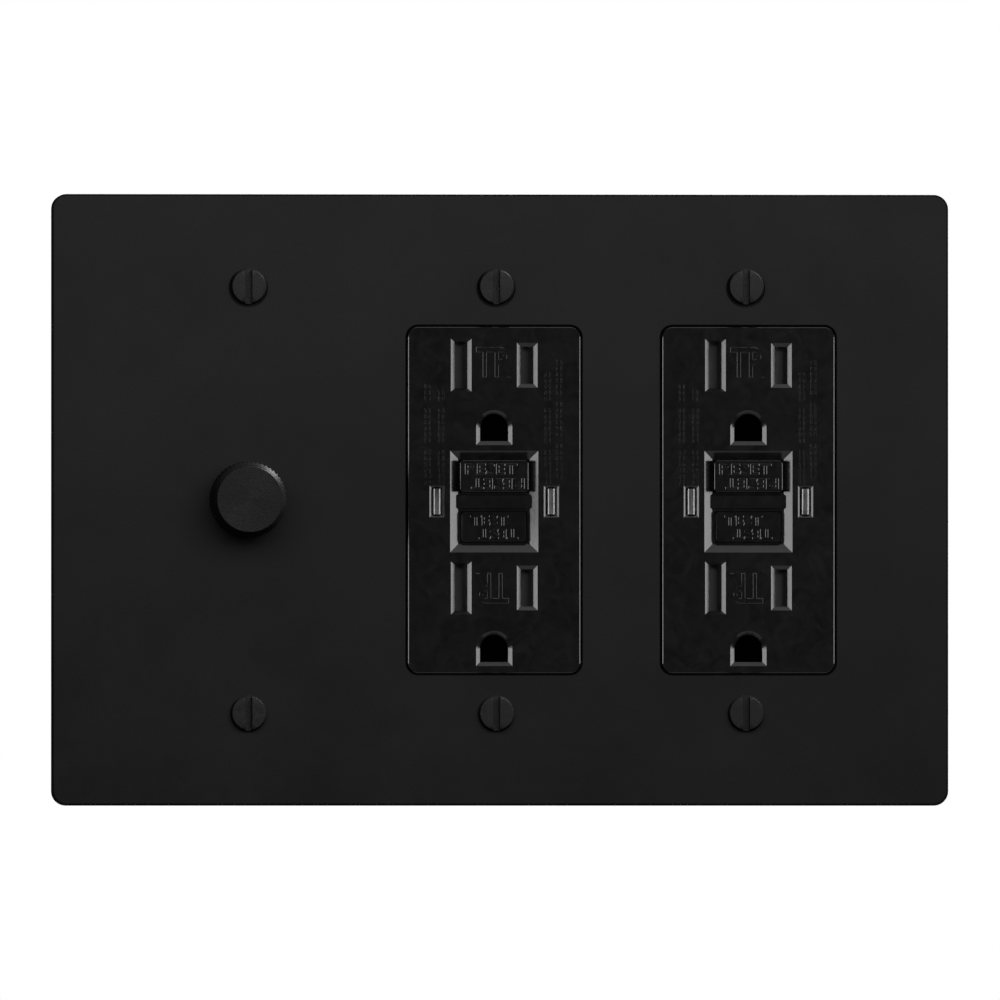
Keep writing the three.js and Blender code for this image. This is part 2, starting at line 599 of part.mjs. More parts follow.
function outlet({ name, x }) {
  const group = columnGroup(x);
  const piece = (what, geometry, material) => add(group, `${name}_${what}`, geometry, material);
  const window = roundedSlab(STRAP_WINDOW, OVERSHOOT, -STRAP.thickness - OVERSHOOT, 4);
  piece('outlet_strap', strap(window), MATERIALS.steel());
  piece('outlet_face', outletFace(), MATERIALS.blackPlastic());
  const rearFront = FACE_FLANGE.front + FACE_FLANGE.thickness + GAP;
  const places = [...TERMINAL_PLACES.hot, ...TERMINAL_PLACES.neutral];
  piece('outlet_housing', rearHousing(rearFront, places, { groundTerminal: true, post: true }),
    MATERIALS.housingPlastic());
  piece('reset_button', pushButton(RESET), MATERIALS.blackPlastic());
  piece('test_button', pushButton(TEST), MATERIALS.blackPlastic());
  piece('reset_spring', buttonSpring(RESET.z), MATERIALS.springWire());
  piece('test_spring', buttonSpring(TEST.z), MATERIALS.springWire());
  piece('upper_shutter', shutter(OUTLET_BLADES[0]), MATERIALS.shutterPlastic());
  piece('lower_shutter', shutter(OUTLET_BLADES[1]), MATERIALS.shutterPlastic());
  piece('left_indicator_lens', indicatorLens(-WINDOW.x), MATERIALS.lens());
  piece('right_indicator_lens', indicatorLens(WINDOW.x), MATERIALS.lens());
  piece('hot_contact', bladeContact(1), MATERIALS.brass());
  piece('neutral_contact', bladeContact(-1), MATERIALS.brass());
  piece('ground_contact', groundContact(), MATERIALS.brass());
  const boardHole = { width: SPRING_POST.width + 1, height: SPRING_POST.height + 1 };
  piece('circuit_board', circuitBoard(OUTLET_BOARD_FRONT, boardHole), MATERIALS.circuitBoard());
  for (const [kind, material] of [['hot', MATERIALS.brass], ['neutral', MATERIALS.steel]]) {
    const [upper, lower] = TERMINAL_PLACES[kind];
    addSideTerminal(group, `${name}_${kind}_upper_terminal_screw`, upper, material());
    addSideTerminal(group, `${name}_${kind}_lower_terminal_screw`, lower, material());
  }
  const ground = piece('ground_terminal_screw', terminalScrew(), MATERIALS.greenScrew());
  ground.rotation.x = Math.PI / 2;
  ground.position.set(GROUND_TERMINAL_X, TERMINAL.y, -(BODY.height / 2 - TERMINAL.recess + GAP));
  return group;
}

// ---------------------------------------------------------------- assembly

const assembly = new THREE.Group();
assembly.add(plateWithScrews(), dimmer(), ...OUTLETS.map(outlet));

export default assembly;
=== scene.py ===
import json
import math
from contextlib import contextmanager

import bmesh
import bpy
from bpy.props import FloatProperty, FloatVectorProperty, IntProperty, PointerProperty
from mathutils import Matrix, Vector

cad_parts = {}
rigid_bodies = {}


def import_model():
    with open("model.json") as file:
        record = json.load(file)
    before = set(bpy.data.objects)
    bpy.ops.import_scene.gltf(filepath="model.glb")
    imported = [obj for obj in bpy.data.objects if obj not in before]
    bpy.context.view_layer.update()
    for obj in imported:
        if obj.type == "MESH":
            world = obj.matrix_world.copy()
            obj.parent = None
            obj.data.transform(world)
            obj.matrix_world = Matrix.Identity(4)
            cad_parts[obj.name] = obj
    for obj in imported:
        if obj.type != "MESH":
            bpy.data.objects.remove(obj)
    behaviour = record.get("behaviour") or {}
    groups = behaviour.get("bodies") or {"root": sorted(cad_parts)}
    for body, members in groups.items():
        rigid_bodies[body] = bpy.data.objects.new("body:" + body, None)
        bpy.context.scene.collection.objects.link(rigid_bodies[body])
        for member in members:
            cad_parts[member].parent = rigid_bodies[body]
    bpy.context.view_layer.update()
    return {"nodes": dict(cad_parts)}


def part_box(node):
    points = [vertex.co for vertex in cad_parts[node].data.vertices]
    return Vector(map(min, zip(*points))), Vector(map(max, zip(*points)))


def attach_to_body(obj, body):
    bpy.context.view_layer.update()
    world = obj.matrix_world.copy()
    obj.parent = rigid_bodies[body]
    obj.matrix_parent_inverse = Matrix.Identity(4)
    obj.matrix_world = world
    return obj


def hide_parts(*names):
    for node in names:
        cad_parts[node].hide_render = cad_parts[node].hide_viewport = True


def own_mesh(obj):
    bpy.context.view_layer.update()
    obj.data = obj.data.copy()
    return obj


bl_info = {
    "name": "Wall plate with dimmer and outlets",
    "version": (1, 0, 0),
    "blender": (4, 5, 0),
    "location": "View3D > Sidebar > Wall plate",
    "description": "Fine surfaces, finishes and stage for a three-gang wall plate and its devices",
    "category": "Object",
}

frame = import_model()

MM = 0.001
MERGE = 1e-7
NUDGE = 0.02 * MM
OVER = 1 * MM
FLANGE = 1 * MM
SOFT = 0.15 * MM
COLUMNS = ("dimmer", "middle", "right")
OUTLETS = ("middle", "right")
ENDS = ("top", "bottom")

# Raised marks beside the slots: across and up from the outlet's middle, width and height in mm,
# and whether they stand upside down.
SLOT_MARKS = (("upper_mark", -0.1, 26.5, 6.8, 5.87, False), ("lower_mark", -0.43, -16.97, 6.5, 5.87, True))
# What each button does, once upright and once upside down, placed in the same way.
BUTTON_WORDS = {
    "reset": ((-0.58, 5.96, 10.1, 2.1, False), (0.68, 3.12, 10.3, 2.1, True)),
    "test": ((-0.9, -3.94, 7.3, 2.0, False), (0.88, -6.54, 7.6, 2.0, True)),
}
# Rows of fine dashes: across from the outlet's middle, lowest and highest, in mm.
DASH_ROWS = ((-12.8, 3.4, 23.9), (-10.2, 3.4, 22.3), (10.3, 3.4, 26.2), (12.5, 4.6, 27.8))
DASH_SPACING = 1.15 * MM
DASHES_IN_GROUP = 7
CAPITAL_HEIGHT = 0.73  # of the plain font, at size 1


# ---------------------------------------------------------------- places, from the frame

class Box:
    """The box of one CAD node at rest, with its sides by name."""

    def __init__(self, node):
        low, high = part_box(node)
        self.low = low
        self.high = high
        self.centre = (low + high) / 2
        self.size = high - low

    @property
    def front(self):
        return self.low.y

    @property
    def back(self):
        return self.high.y


PLATE = Box("face_plate")
FACE = Box("middle_outlet_face")
STRAP = Box("middle_outlet_strap")
HOUSING = Box("middle_outlet_housing")
KNOB = Box("dimmer_knob")
OUTLET_SHIFT = Box("right_outlet_face").centre - FACE.centre


# ---------------------------------------------------------------- shader helper

class Value:
    """A node's output that can be used in plain arithmetic."""

    def __init__(self, tree, socket):
        self.tree = tree
        self.socket = socket

    def _math(self, operation, first, second):
        return self.tree.node("ShaderNodeMath", {"operation": operation}, {0: first, 1: second})

    def __add__(self, other):
        return self._math("ADD", self, other)

    def __radd__(self, other):
        return self._math("ADD", other, self)

    def __mul__(self, other):
        return self._math("MULTIPLY", self, other)

    def __rmul__(self, other):
        return self._math("MULTIPLY", other, self)


class Tree:
    """Adds nodes to a node tree, each with its settings first and its sockets after."""

    def __init__(self, owner):
        owner.use_nodes = True
        self.tree = owner.node_tree
        self.tree.nodes.clear()

    def node(self, kind, settings=None, sockets=None, output=0):
        made = self.tree.nodes.new(kind)
        for key, value in (settings or {}).items():
            setattr(made, key, value)
        for key, value in (sockets or {}).items():
            if isinstance(value, Value):
                self.tree.links.new(value.socket, made.inputs[key])
            else:
                made.inputs[key].default_value = value
        return Value(self, made.outputs[output]) if made.outputs else made


class Finish(Tree):
    """A material with the patterns that the finishes share. Sizes of patterns are in metres."""

    def __init__(self, name):
        self.material = bpy.data.materials.new(name)
        super().__init__(self.material)
        self.place = self.node("ShaderNodeTexCoord", output="Object")

    def noise(self, size, detail=2, roughness=0.5, stretch=(1, 1, 1), distortion=0):
        mapped = self.node("ShaderNodeMapping", sockets={"Vector": self.place, "Scale": stretch})
        return self.node(
            "ShaderNodeTexNoise",
            sockets={"Vector": mapped, "Scale": 1 / size, "Detail": detail,
                     "Roughness": roughness, "Distortion": distortion},
        )

    def ramp(self, value, low, high):
        """The value spread so that low becomes 0 and high becomes 1, held between them."""
        return self.node(
            "ShaderNodeMapRange", {"clamp": True},
            {"Value": value, "From Min": low, "From Max": high},
        )

    def mix(self, factor, first, second):
        """A colour between two colours."""
        def four(colour):
            return colour if isinstance(colour, Value) else (*colour[:3], 1)
        return self.node(
            "ShaderNodeMix", {"data_type": "RGBA"}, {0: factor, 6: four(first), 7: four(second)}, 2,
        )

    def rings(self, centre, pitch):
        """Circular grooves about an axis along Y through a point."""
        mapped = self.node("ShaderNodeMapping", sockets={"Vector": self.place, "Location": -centre})
        flat = self.node("ShaderNodeVectorMath", {"operation": "MULTIPLY"}, {0: mapped, 1: (1, 0, 1)})
        radius = self.node("ShaderNodeVectorMath", {"operation": "LENGTH"}, {0: flat}, "Value")
        return self.node("ShaderNodeMath", {"operation": "SINE"}, {0: radius * (2 * math.pi / pitch)})

    def bump(self, height, depth, strength=1.0, before=None):
        sockets = {"Height": height, "Distance": depth, "Strength": strength}
        if before is not None:
            sockets["Normal"] = before
        return self.node("ShaderNodeBump", sockets=sockets)

    def finish(self, colour, roughness, normal=None, metallic=0.0, **constants):
        sockets = {"Base Color": colour if isinstance(colour, Value) else (*colour[:3], 1),
                   "Roughness": roughness, "Metallic": metallic}
        if normal is not None:
            sockets["Normal"] = normal
        sockets.update({key.replace("_", " "): value for key, value in constants.items()})
        surface = self.node("ShaderNodeBsdfPrincipled", sockets=sockets)
        self.node("ShaderNodeOutputMaterial", sockets={"Surface": surface})
        return self.material


def shade(colour, factor):
    return tuple(min(1, channel * factor) for channel in colour[:3])


# ---------------------------------------------------------------- finishes

def powder_coat(name, colour, roughness=0.5, grain=0.28 * MM, level=0.35):
    """Matte black coating on metal: a very fine orange peel and faint uneven patches."""
    look = Finish(name)
    patches = look.noise(28 * MM, detail=4, roughness=0.6)
    specks = look.noise(grain, detail=3)
    cloud = look.noise(9 * MM, detail=6, roughness=0.7)
    tone = look.ramp(patches * 0.4 + cloud * 0.45 + specks * 0.15, 0.4, 0.6)
    base = look.mix(tone, shade(colour, 0.5), shade(colour, 1.5))
    peel = look.bump(specks, 0.03 * MM, 0.5)
    rough = roughness - 0.12 + 0.24 * cloud
    return look.finish(base, rough, peel, Specular_IOR_Level=level)


def turned_coat(name, colour, centre, grain, roughness=0.32):
    """Satin black over turned metal, with circular tool marks about the axis."""
    look = Finish(name)
    fine = look.rings(centre, 0.16 * MM)
    uneven = look.noise(1.2 * MM, detail=4)
    base = look.mix(look.ramp(fine * 0.5 + uneven, 0.2, 1.0), shade(colour, 0.85), shade(colour, 1.2))
    marks = look.bump(fine * uneven, 0.014 * MM, 0.7)
    marks = look.bump(look.noise(0.45 * MM, detail=3), grain, 0.6, before=marks)
    return look.finish(base, roughness + 0.08 * uneven, marks, metallic=0.3, Specular_IOR_Level=0.28)


def moulded_gloss(name, colour, roughness=0.14, level=0.5):
    """Moulded black plastic: smooth, with flow marks and tiny pits."""
    look = Finish(name)
    flow = look.noise(3.5 * MM, detail=6, roughness=0.65, distortion=1.2)
    pits = look.noise(0.35 * MM, detail=4, roughness=0.7)
    base = look.mix(look.ramp(flow, 0.3, 0.7), shade(colour, 0.55), shade(colour, 1.45))
    surface = look.bump(flow, 0.04 * MM, 0.4)
    surface = look.bump(pits, 0.012 * MM, 0.5, before=surface)
    rough = roughness + 0.08 * flow + 0.04 * pits
    return look.finish(base, rough, surface, Specular_IOR_Level=level)


def moulded_matte(name, colour, roughness=0.55):
    """Fine-grained moulded plastic, as on the back of a device."""
    look = Finish(name)
    grain = look.noise(0.45 * MM, detail=3)
    patches = look.noise(14 * MM, detail=3)
    base = look.mix(look.ramp(patches, 0.3, 0.7), shade(colour, 0.85), shade(colour, 1.15))
    return look.finish(base, roughness + 0.08 * grain, look.bump(grain, 0.03 * MM, 0.7),
                       Specular_IOR_Level=0.4)


def plated_metal(name, colour, roughness=0.3, brushed=(1, 1, 0.03)):
    """Plated sheet metal with rolling marks along one direction and dull patches."""
    look = Finish(name)
    lines = look.noise(0.25 * MM, detail=4, roughness=0.6, stretch=brushed)
    patches = look.noise(7 * MM, detail=4)
    base = look.mix(look.ramp(patches, 0.3, 0.7), shade(colour, 0.85), shade(colour, 1.08))
    rough = roughness + 0.12 * patches + 0.1 * lines
    return look.finish(base, rough, look.bump(lines, 0.012 * MM, 0.5), metallic=1.0)


def drawn_wire(name, colour, roughness=0.28):
    """Bright drawn spring wire with fine streaks."""
    look = Finish(name)
    streaks = look.noise(0.15 * MM, detail=3)
    base = look.mix(streaks, shade(colour, 0.8), shade(colour, 1.1))
    return look.finish(base, roughness + 0.1 * streaks, look.bump(streaks, 0.006 * MM, 0.5), metallic=1.0)


def smoky_lens(name, colour):
    """A polished smoky light pipe, with faint moulding streaks along its height."""
    look = Finish(name)
    streaks = look.noise(0.5 * MM, detail=3, stretch=(1, 1, 0.15))
    base = look.mix(look.ramp(streaks, 0.35, 0.7), shade(colour, 0.5), shade(colour, 1.5))
    return look.finish(base, 0.08 + 0.12 * streaks, look.bump(streaks, 0.02 * MM, 0.4),
                       Specular_IOR_Level=0.6, Coat_Weight=0.4)


def solder_mask(name, colour):
    """A green circuit board with faint copper tracks under its lacquer."""
    look = Finish(name)
    tracks = look.node(
        "ShaderNodeTexVoronoi", {"feature": "DISTANCE_TO_EDGE"},
        {"Vector": look.place, "Scale": 1 / (4 * MM)},
    )
    line = look.ramp(tracks, 0.04, 0.07)
    base = look.mix(line, shade(colour, 1.7), colour)
    return look.finish(base, 0.3 + 0.1 * look.noise(2 * MM), look.bump(line, 0.03 * MM, 0.5))


def wound_copper(name, colour, turns=60):
    """Lacquered wire wound side by side about an axis along Y."""
    look = Finish(name)
    centre = Box("dimmer_choke_coil").centre
    mapped = look.node("ShaderNodeMapping", sockets={"Vector": look.place, "Location": -centre})
    around = look.node("ShaderNodeTexGradient", {"gradient_type": "RADIAL"},
                       {"Vector": look.node("ShaderNodeMapping", sockets={
                           "Vector": mapped, "Rotation": (math.pi / 2, 0, 0)})})
    wires = look.node("ShaderNodeMath", {"operation": "SINE"}, {0: around * (2 * math.pi * turns)})
    # The colour follows the turns: painted shade in the grooves between them and a painted highlight on their
    # crests.
    base = look.mix(look.ramp(wires, -1, 1), shade(colour, 0.5), shade(colour, 1.2))
    return look.finish(base, 0.3 + 0.1 * look.noise(0.5 * MM), look.bump(wires, 0.15 * MM, 0.8),
                       metallic=0.6)


# ---------------------------------------------------------------- modelling helpers

def deselect_all():
    bpy.ops.object.select_all(action="DESELECT")


def make_active(piece):
    deselect_all()
    piece.select_set(True)
    bpy.context.view_layer.objects.active = piece


def settle(piece):
    """Puts a piece's place, turn and size into its mesh."""
    make_active(piece)
    bpy.ops.object.transform_apply(location=True, rotation=True, scale=True)
    return piece


def remove(piece):
    bpy.data.objects.remove(piece)


@contextmanager
def editing(piece):
    make_active(piece)
    bpy.ops.object.mode_set(mode="EDIT")
    bpy.ops.mesh.select_all(action="DESELECT")
    yield
    bpy.ops.object.mode_set(mode="OBJECT")


def pick(piece, kind, test):
    """Selects the verts, edges or faces of a mesh in edit mode that pass a test."""
    modes = {"verts": "VERT", "edges": "EDGE", "faces": "FACE"}
    bpy.ops.mesh.select_mode(type=modes[kind])
    bpy.ops.mesh.select_all(action="DESELECT")
    mesh = bmesh.from_edit_mesh(piece.data)
    for element in getattr(mesh, kind):
        if test(element):
            element.select_set(True)
    mesh.select_flush_mode()
    bmesh.update_edit_mesh(piece.data)


def lies_at(axis, value):
    """A test for edges and faces that lie in a plane square to an axis."""
    def test(element):
        return all(abs(vert.co[axis] - value) < NUDGE for vert in element.verts)
    return test


def runs_along(axis):
    """A test for edges parallel to an axis."""
    def test(edge):
        along = (edge.verts[1].co - edge.verts[0].co).normalized()
        return abs(along[axis]) > 0.999
    return test


def bevel_edges(piece, test, width, segments):
    with editing(piece):
        pick(piece, "edges", test)
        bpy.ops.mesh.bevel(offset=width, segments=segments, affect="EDGES", profile=0.5)


def block(name, low, high):
    """A block between two corners."""
    low, high = Vector(low), Vector(high)
    deselect_all()
    bpy.ops.mesh.primitive_cube_add(size=1, location=(low + high) / 2, scale=high - low)
    piece = bpy.context.object
    piece.name = name
    return settle(piece)


def rounded_block(name, low, high, corner, segments=6):
    """A block whose four edges along Y are rounded."""
    piece = block(name, low, high)
    bevel_edges(piece, runs_along(1), corner, segments)
    return piece


def around(centre_x, centre_z, width, height, front, back):
    """Low and high corners of a box about a place on the front."""
    return ((centre_x - width / 2, front, centre_z - height / 2),
            (centre_x + width / 2, back, centre_z + height / 2))


def drum(name, radius, front, back, x, z, vertices=32):
    """A round piece with its axis along Y."""
    deselect_all()
    bpy.ops.mesh.primitive_cylinder_add(
        vertices=vertices, radius=radius, depth=back - front,
        location=(x, (front + back) / 2, z), rotation=(math.pi / 2, 0, 0))
    piece = bpy.context.object
    piece.name = name
    return settle(piece)


def flare_front(piece, growth, depth, over=OVER):
    """Draws a front face forward by depth while its outline grows all round, or shrinks where
    growth is below nothing. A cutting tool then runs on straight past the surface."""
    front = min(vert.co.y for vert in piece.data.vertices)
    xs = [vert.co.x for vert in piece.data.vertices]
    zs = [vert.co.z for vert in piece.data.vertices]
    width, height = max(xs) - min(xs), max(zs) - min(zs)
    centre = ((max(xs) + min(xs)) / 2, front, (max(zs) + min(zs)) / 2)
    wider = ((width + 2 * growth) / width, 1, (height + 2 * growth) / height)
    with editing(piece):
        pick(piece, "faces", lies_at(1, front))
        bpy.ops.mesh.extrude_region_move(TRANSFORM_OT_translate={"value": (0, -depth, 0)})
        bpy.ops.transform.resize(value=wider, center_override=centre)
        if over:
            bpy.ops.mesh.extrude_region_move(TRANSFORM_OT_translate={"value": (0, -over, 0)})
    return piece


def apply_modifiers(piece):
    make_active(piece)
    for modifier in list(piece.modifiers):
        bpy.ops.object.modifier_apply(modifier=modifier.name)


def combine(piece, tool, operation):
    modifier = piece.modifiers.new("combine", "BOOLEAN")
    modifier.operation = operation
    modifier.solver = "EXACT"
    modifier.object = tool
    apply_modifiers(piece)
    remove(tool)
    return piece


def cut(piece, *tools):
    for tool in tools:
        combine(piece, tool, "DIFFERENCE")
    return piece


def fuse(piece, *others):
    for other in others:
        combine(piece, other, "UNION")
    return piece


def attach(piece, *others):
    """Makes others part of a piece's mesh, as shells that stand in its surface."""
    make_active(piece)
    for other in others:
        other.select_set(True)
    bpy.ops.object.join()
    return piece


def soften(piece, width, segments=2, angle=35):
    """Breaks every sharp edge by a small bevel."""
    modifier = piece.modifiers.new("soften", "BEVEL")
    modifier.width = width
    modifier.segments = segments
    modifier.limit_method = "ANGLE"
    modifier.angle_limit = math.radians(angle)
    apply_modifiers(piece)
    return piece


def line_through(name, points):
    """A bare line drawn by extruding one vertex from point to point."""
    deselect_all()
    bpy.ops.mesh.primitive_plane_add(size=1)
    piece = bpy.context.object
    piece.name = name
    corner = piece.data.vertices[0].co.copy()
    with editing(piece):
        pick(piece, "verts", lambda vert: (vert.co - corner).length > NUDGE)
        bpy.ops.mesh.delete(type="VERT")
        bpy.ops.mesh.select_all(action="SELECT")
        bpy.ops.transform.translate(value=Vector(points[0]) - corner)
        for here, there in zip(points, points[1:]):
            step = Vector(there) - Vector(here)
            bpy.ops.mesh.extrude_region_move(TRANSFORM_OT_translate={"value": step})
    return piece


def close_up(piece):
    """Merges doubled points and turns all faces outwards."""
    with editing(piece):
        bpy.ops.mesh.select_all(action="SELECT")
        bpy.ops.mesh.remove_doubles(threshold=MERGE)
        bpy.ops.mesh.normals_make_consistent(inside=False)
    return piece


def lathe(name, profile, steps, x=0.0, z=0.0):
    """A piece turned about an axis along Y. The profile is (radius, y) pairs."""
    piece = line_through(name, [(x + radius, y, z) for radius, y in profile])
    with editing(piece):
        bpy.ops.mesh.select_all(action="SELECT")
        bpy.ops.mesh.spin(steps=steps, angle=2 * math.pi, center=(x, 0, z), axis=(0, 1, 0))
    return close_up(piece)


def swept_round(piece, pitch, turns, steps):
    """Sweeps an outline about the Y axis while it climbs by its pitch each turn."""
    modifier = piece.modifiers.new("sweep", "SCREW")
    modifier.axis = "Y"
    modifier.angle = 2 * math.pi
    modifier.screw_offset = pitch
    modifier.iterations = turns
    modifier.steps = steps
    modifier.render_steps = steps
    modifier.use_merge_vertices = True
    modifier.merge_threshold = MERGE
    apply_modifiers(piece)
    return piece


def threaded_rod(name, root, crest, pitch, front, back, steps=20):
    """A helical thread between two ends, closed flat at both."""
    turns = math.ceil((back - front) / pitch) + 2
    start = front - pitch
    tooth = [(root, start, 0), (crest, start + pitch / 2, 0), (root, start + pitch, 0)]
    piece = swept_round(line_through(name, tooth), pitch, turns, steps)
    with editing(piece):
        for place, outward in ((front, -1), (back, 1)):
            bpy.ops.mesh.select_all(action="SELECT")
            bpy.ops.mesh.bisect(plane_co=(0, place, 0), plane_no=(0, outward, 0),
                                use_fill=True, clear_outer=True)
    return close_up(piece)


def moved(piece, shift):
    piece.location = shift
    return settle(piece)


def copy_of(piece, name, shift=(0, 0, 0)):
    """A copy with its own mesh, moved."""
    twin = piece.copy()
    twin.data = piece.data.copy()
    twin.name = name
    bpy.context.scene.collection.objects.link(twin)
    return moved(twin, shift)


def lettering(name, word, centre, size, slope, steepness, thicker, upside_down=False):
    """Raised plain letters with sloped sides that stand out of a front face, fitted to a width
    and height. Their strokes are made thicker on each side."""
    unit = size[1] / CAPITAL_HEIGHT
    deselect_all()
    bpy.ops.object.text_add()
    text = bpy.context.object
    text.data.body = word
    text.data.extrude = 0.1 * slope / unit
    text.data.bevel_depth = slope / unit
    text.data.bevel_resolution = 0
    text.data.offset = thicker / unit
    text.data.resolution_u = 3
    bpy.ops.object.convert(target="MESH")
    piece = bpy.context.object
    piece.name = name
    spans = [[vert.co[axis] for vert in piece.data.vertices] for axis in range(3)]
    extent = [max(span) - min(span) for span in spans]
    middle = [(max(span) + min(span)) / 2 for span in spans]
    with editing(piece):
        bpy.ops.mesh.select_all(action="SELECT")
        bpy.ops.mesh.remove_doubles(threshold=1e-5)
        bpy.ops.transform.translate(value=[-value for value in middle])
    piece.scale = (size[0] / extent[0], size[1] / extent[1], unit * steepness)
    settle(piece)
    piece.rotation_euler = (math.pi / 2, 0, 0)
    settle(piece)
    if upside_down:
        piece.rotation_euler = (0, math.pi, 0)
        settle(piece)
    return moved(piece, centre)


def stand_in(piece, body, nodes, material, angle=30):
    """Gives a finished piece its finish and its body, and hides the CAD nodes it stands for."""
    make_active(piece)
    bpy.ops.object.shade_smooth_by_angle(angle=math.radians(angle))
    modifier = piece.modifiers.new("flat faces stay flat", "WEIGHTED_NORMAL")
    modifier.keep_sharp = True
    apply_modifiers(piece)
    piece.data.materials.clear()
    piece.data.materials.append(material)
    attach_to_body(piece, body)
    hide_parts(*nodes)


def repaint(node, material):
    """A CAD node that keeps its own shape gets a finish."""
    mesh = frame["nodes"][node].data
    mesh.materials.clear()
    mesh.materials.append(material)


# ---------------------------------------------------------------- plate and screws

def build_plate(look):
    """The coated plate: softened edges, device openings, screw holes and the pocket behind."""
    plate = rounded_block("plate_shape", PLATE.low, PLATE.high, look.corner, 10)
    bevel_edges(plate, lies_at(1, PLATE.front), look.edge, 4)
    rim = Vector((look.rim, 0, look.rim))
    pocket_front = PLATE.front + look.skin
    low = Vector((PLATE.low.x, pocket_front, PLATE.low.z)) + rim
    high = Vector((PLATE.high.x, OVER, PLATE.high.z)) - rim
    cut(plate, rounded_block("pocket", low, high, look.corner / 2, 4))
    seat_core = look.seat - 0.6 * MM
    for column in COLUMNS:
        for end in ENDS:
            place = Box(f"plate_screw_{column}_{end}").centre
            fuse(plate, drum("boss", look.boss, pocket_front - look.skin / 2, -look.boss_gap,
                             place.x, place.z, 24))
            hole = drum("hole", look.screw_hole, PLATE.front + SOFT, OVER, place.x, place.z)
            cut(plate, flare_front(hole, SOFT, SOFT))
            drop = look.seat_drop if end == "top" else look.seat_drop / 4
            groove = drum("groove", look.seat + drop, PLATE.front - OVER, PLATE.front + look.seat_depth,
                          place.x - drop / 4, place.z - drop, 48)
            core = drum("core", seat_core, PLATE.front - 2 * OVER, OVER, place.x, place.z, 48)
            cut(plate, cut(groove, core))
    hole = drum("knob_hole", look.knob_hole, PLATE.front + SOFT, OVER, KNOB.centre.x, KNOB.centre.z, 48)
    cut(plate, flare_front(hole, SOFT, SOFT))
    for name in OUTLETS:
        centre = Box(f"{name}_outlet_face").centre
        corners = around(centre.x, centre.z, look.opening_width, look.opening_height,
                         PLATE.front + SOFT, OVER)
        cut(plate, flare_front(rounded_block("opening", *corners, look.opening_corner, 8), SOFT, SOFT))
    stand_in(plate, "plate", ["face_plate"], powder_coat("plate coat", look.coat))


def slotted_screw(name, look, head_radius, length, steps=48):
    """A slotted screw along Y with its head's underside at the origin: a rolled head edge, a
    softened slot and a helical thread."""
    head = look.head_height
    edge = look.head_edge
    chamfer = 0.1 * MM
    slot_mouth = 0.12 * MM
    thread_front, thread_end = -0.3 * MM, length - 0.4 * MM
    arc = [(head_radius - edge + edge * math.sin(turn), -head + edge - edge * math.cos(turn))
           for turn in (0, math.pi / 6, math.pi / 3, math.pi / 2)]
    foot = head_radius + look.head_draft
    screw = lathe(name, [(0, -head), *arc, (foot, -chamfer), (foot - chamfer, 0), (0, 0)], steps)
    span = foot + OVER
    groove = block("slot", (-look.slot / 2, -head - OVER, -span),
                   (look.slot / 2, -head + look.slot_depth, span))
    cut(screw, flare_slot(groove, -head + slot_mouth))
    thread = threaded_rod("thread", look.crest - look.thread, look.crest, look.pitch,
                          thread_front, thread_end)
    return attach(screw, thread)


def flare_slot(groove, mouth, widening=2.4):
    """Slopes the two long edges of a slot's cutting tool near its mouth."""
    with editing(groove):
        bpy.ops.mesh.select_all(action="SELECT")
        bpy.ops.mesh.bisect(plane_co=(0, mouth, 0), plane_no=(0, 1, 0))
        pick(groove, "verts", lambda vert: vert.co.y < mouth - NUDGE)
        bpy.ops.transform.resize(value=(widening, 1, 1), center_override=(0, mouth, 0))
    return groove


def build_plate_screws(look):
    box = Box("plate_screw_middle_top")
    pattern = slotted_screw("screw_pattern", look, box.size.x / 2, box.size.y - look.head_height)
    material = turned_coat("screw coat", look.coat, box.centre, 0.01 * MM)
    for column in COLUMNS:
        for end in ENDS:
            node = f"plate_screw_{column}_{end}"
            place = Box(node)
            seat = Vector((place.centre.x, place.front + look.head_height, place.centre.z))
            stand_in(copy_of(pattern, f"{node}_shape", seat), "plate", [node], material)
    remove(pattern)


# ---------------------------------------------------------------- straps and housings

def build_straps(look):
    """The three straps: obround screw slots, tapped holes and scored break-off ears."""
    middle = STRAP.centre
    score_depth, score_width = 0.25 * MM, 0.5 * MM
    blank = rounded_block("strap_blank", STRAP.low, STRAP.high, look.strap_corner, 8)
    for side in (-1, 1):
        low, high = around(middle.x, side * look.strap_slot_height, look.strap_slot_length,
                           look.strap_slot_width, -2 * OVER, OVER)
        cut(blank, rounded_block("slot", low, high, look.strap_slot_width / 2 - NUDGE, 8))
        cut(blank, drum("tap", look.strap_tap, -2 * OVER, OVER, middle.x, side * look.strap_tap_height, 24))
        for across in (-1, 1):
            ear = middle.x + across * look.ear_offset, side * look.strap_tap_height, 32
            groove = drum("score", look.ear_score, -score_depth, OVER, *ear)
            core = drum("core", look.ear_score - score_width, -OVER, 2 * OVER, *ear)
            cut(blank, cut(groove, core))
    soften(blank, 0.12 * MM)
    holes = {"dimmer": drum("hole", look.strap_bushing_hole, -2 * OVER, OVER, KNOB.centre.x, 0, 48)}
    for name in OUTLETS:
        centre = Box(f"{name}_outlet_strap").centre
        corners = around(centre.x, 0, look.strap_window_width, look.strap_window_height, -2 * OVER, OVER)
        holes[name] = rounded_block("window", *corners, look.strap_window_corner, 8)
    finishes = {
        "steel": plated_metal("zinc-plated strap", look.steel, 0.34),
        "aluminium": plated_metal("aluminium strap", look.aluminium, 0.3, (0.03, 1, 1)),
    }
    kinds = {"dimmer": ("dimmer_strap", "strap_aluminium", "aluminium")}
    kinds.update({name: (f"{name}_outlet_strap", "steel", "steel") for name in OUTLETS})
    for column, (node, slot, finish) in kinds.items():
        shift = Vector((Box(node).centre.x - middle.x, 0, 0))
        strap = cut(copy_of(blank, f"{node}_shape", shift), holes[column])
        stand_in(strap, "plate", [node], finishes[finish])
    remove(blank)


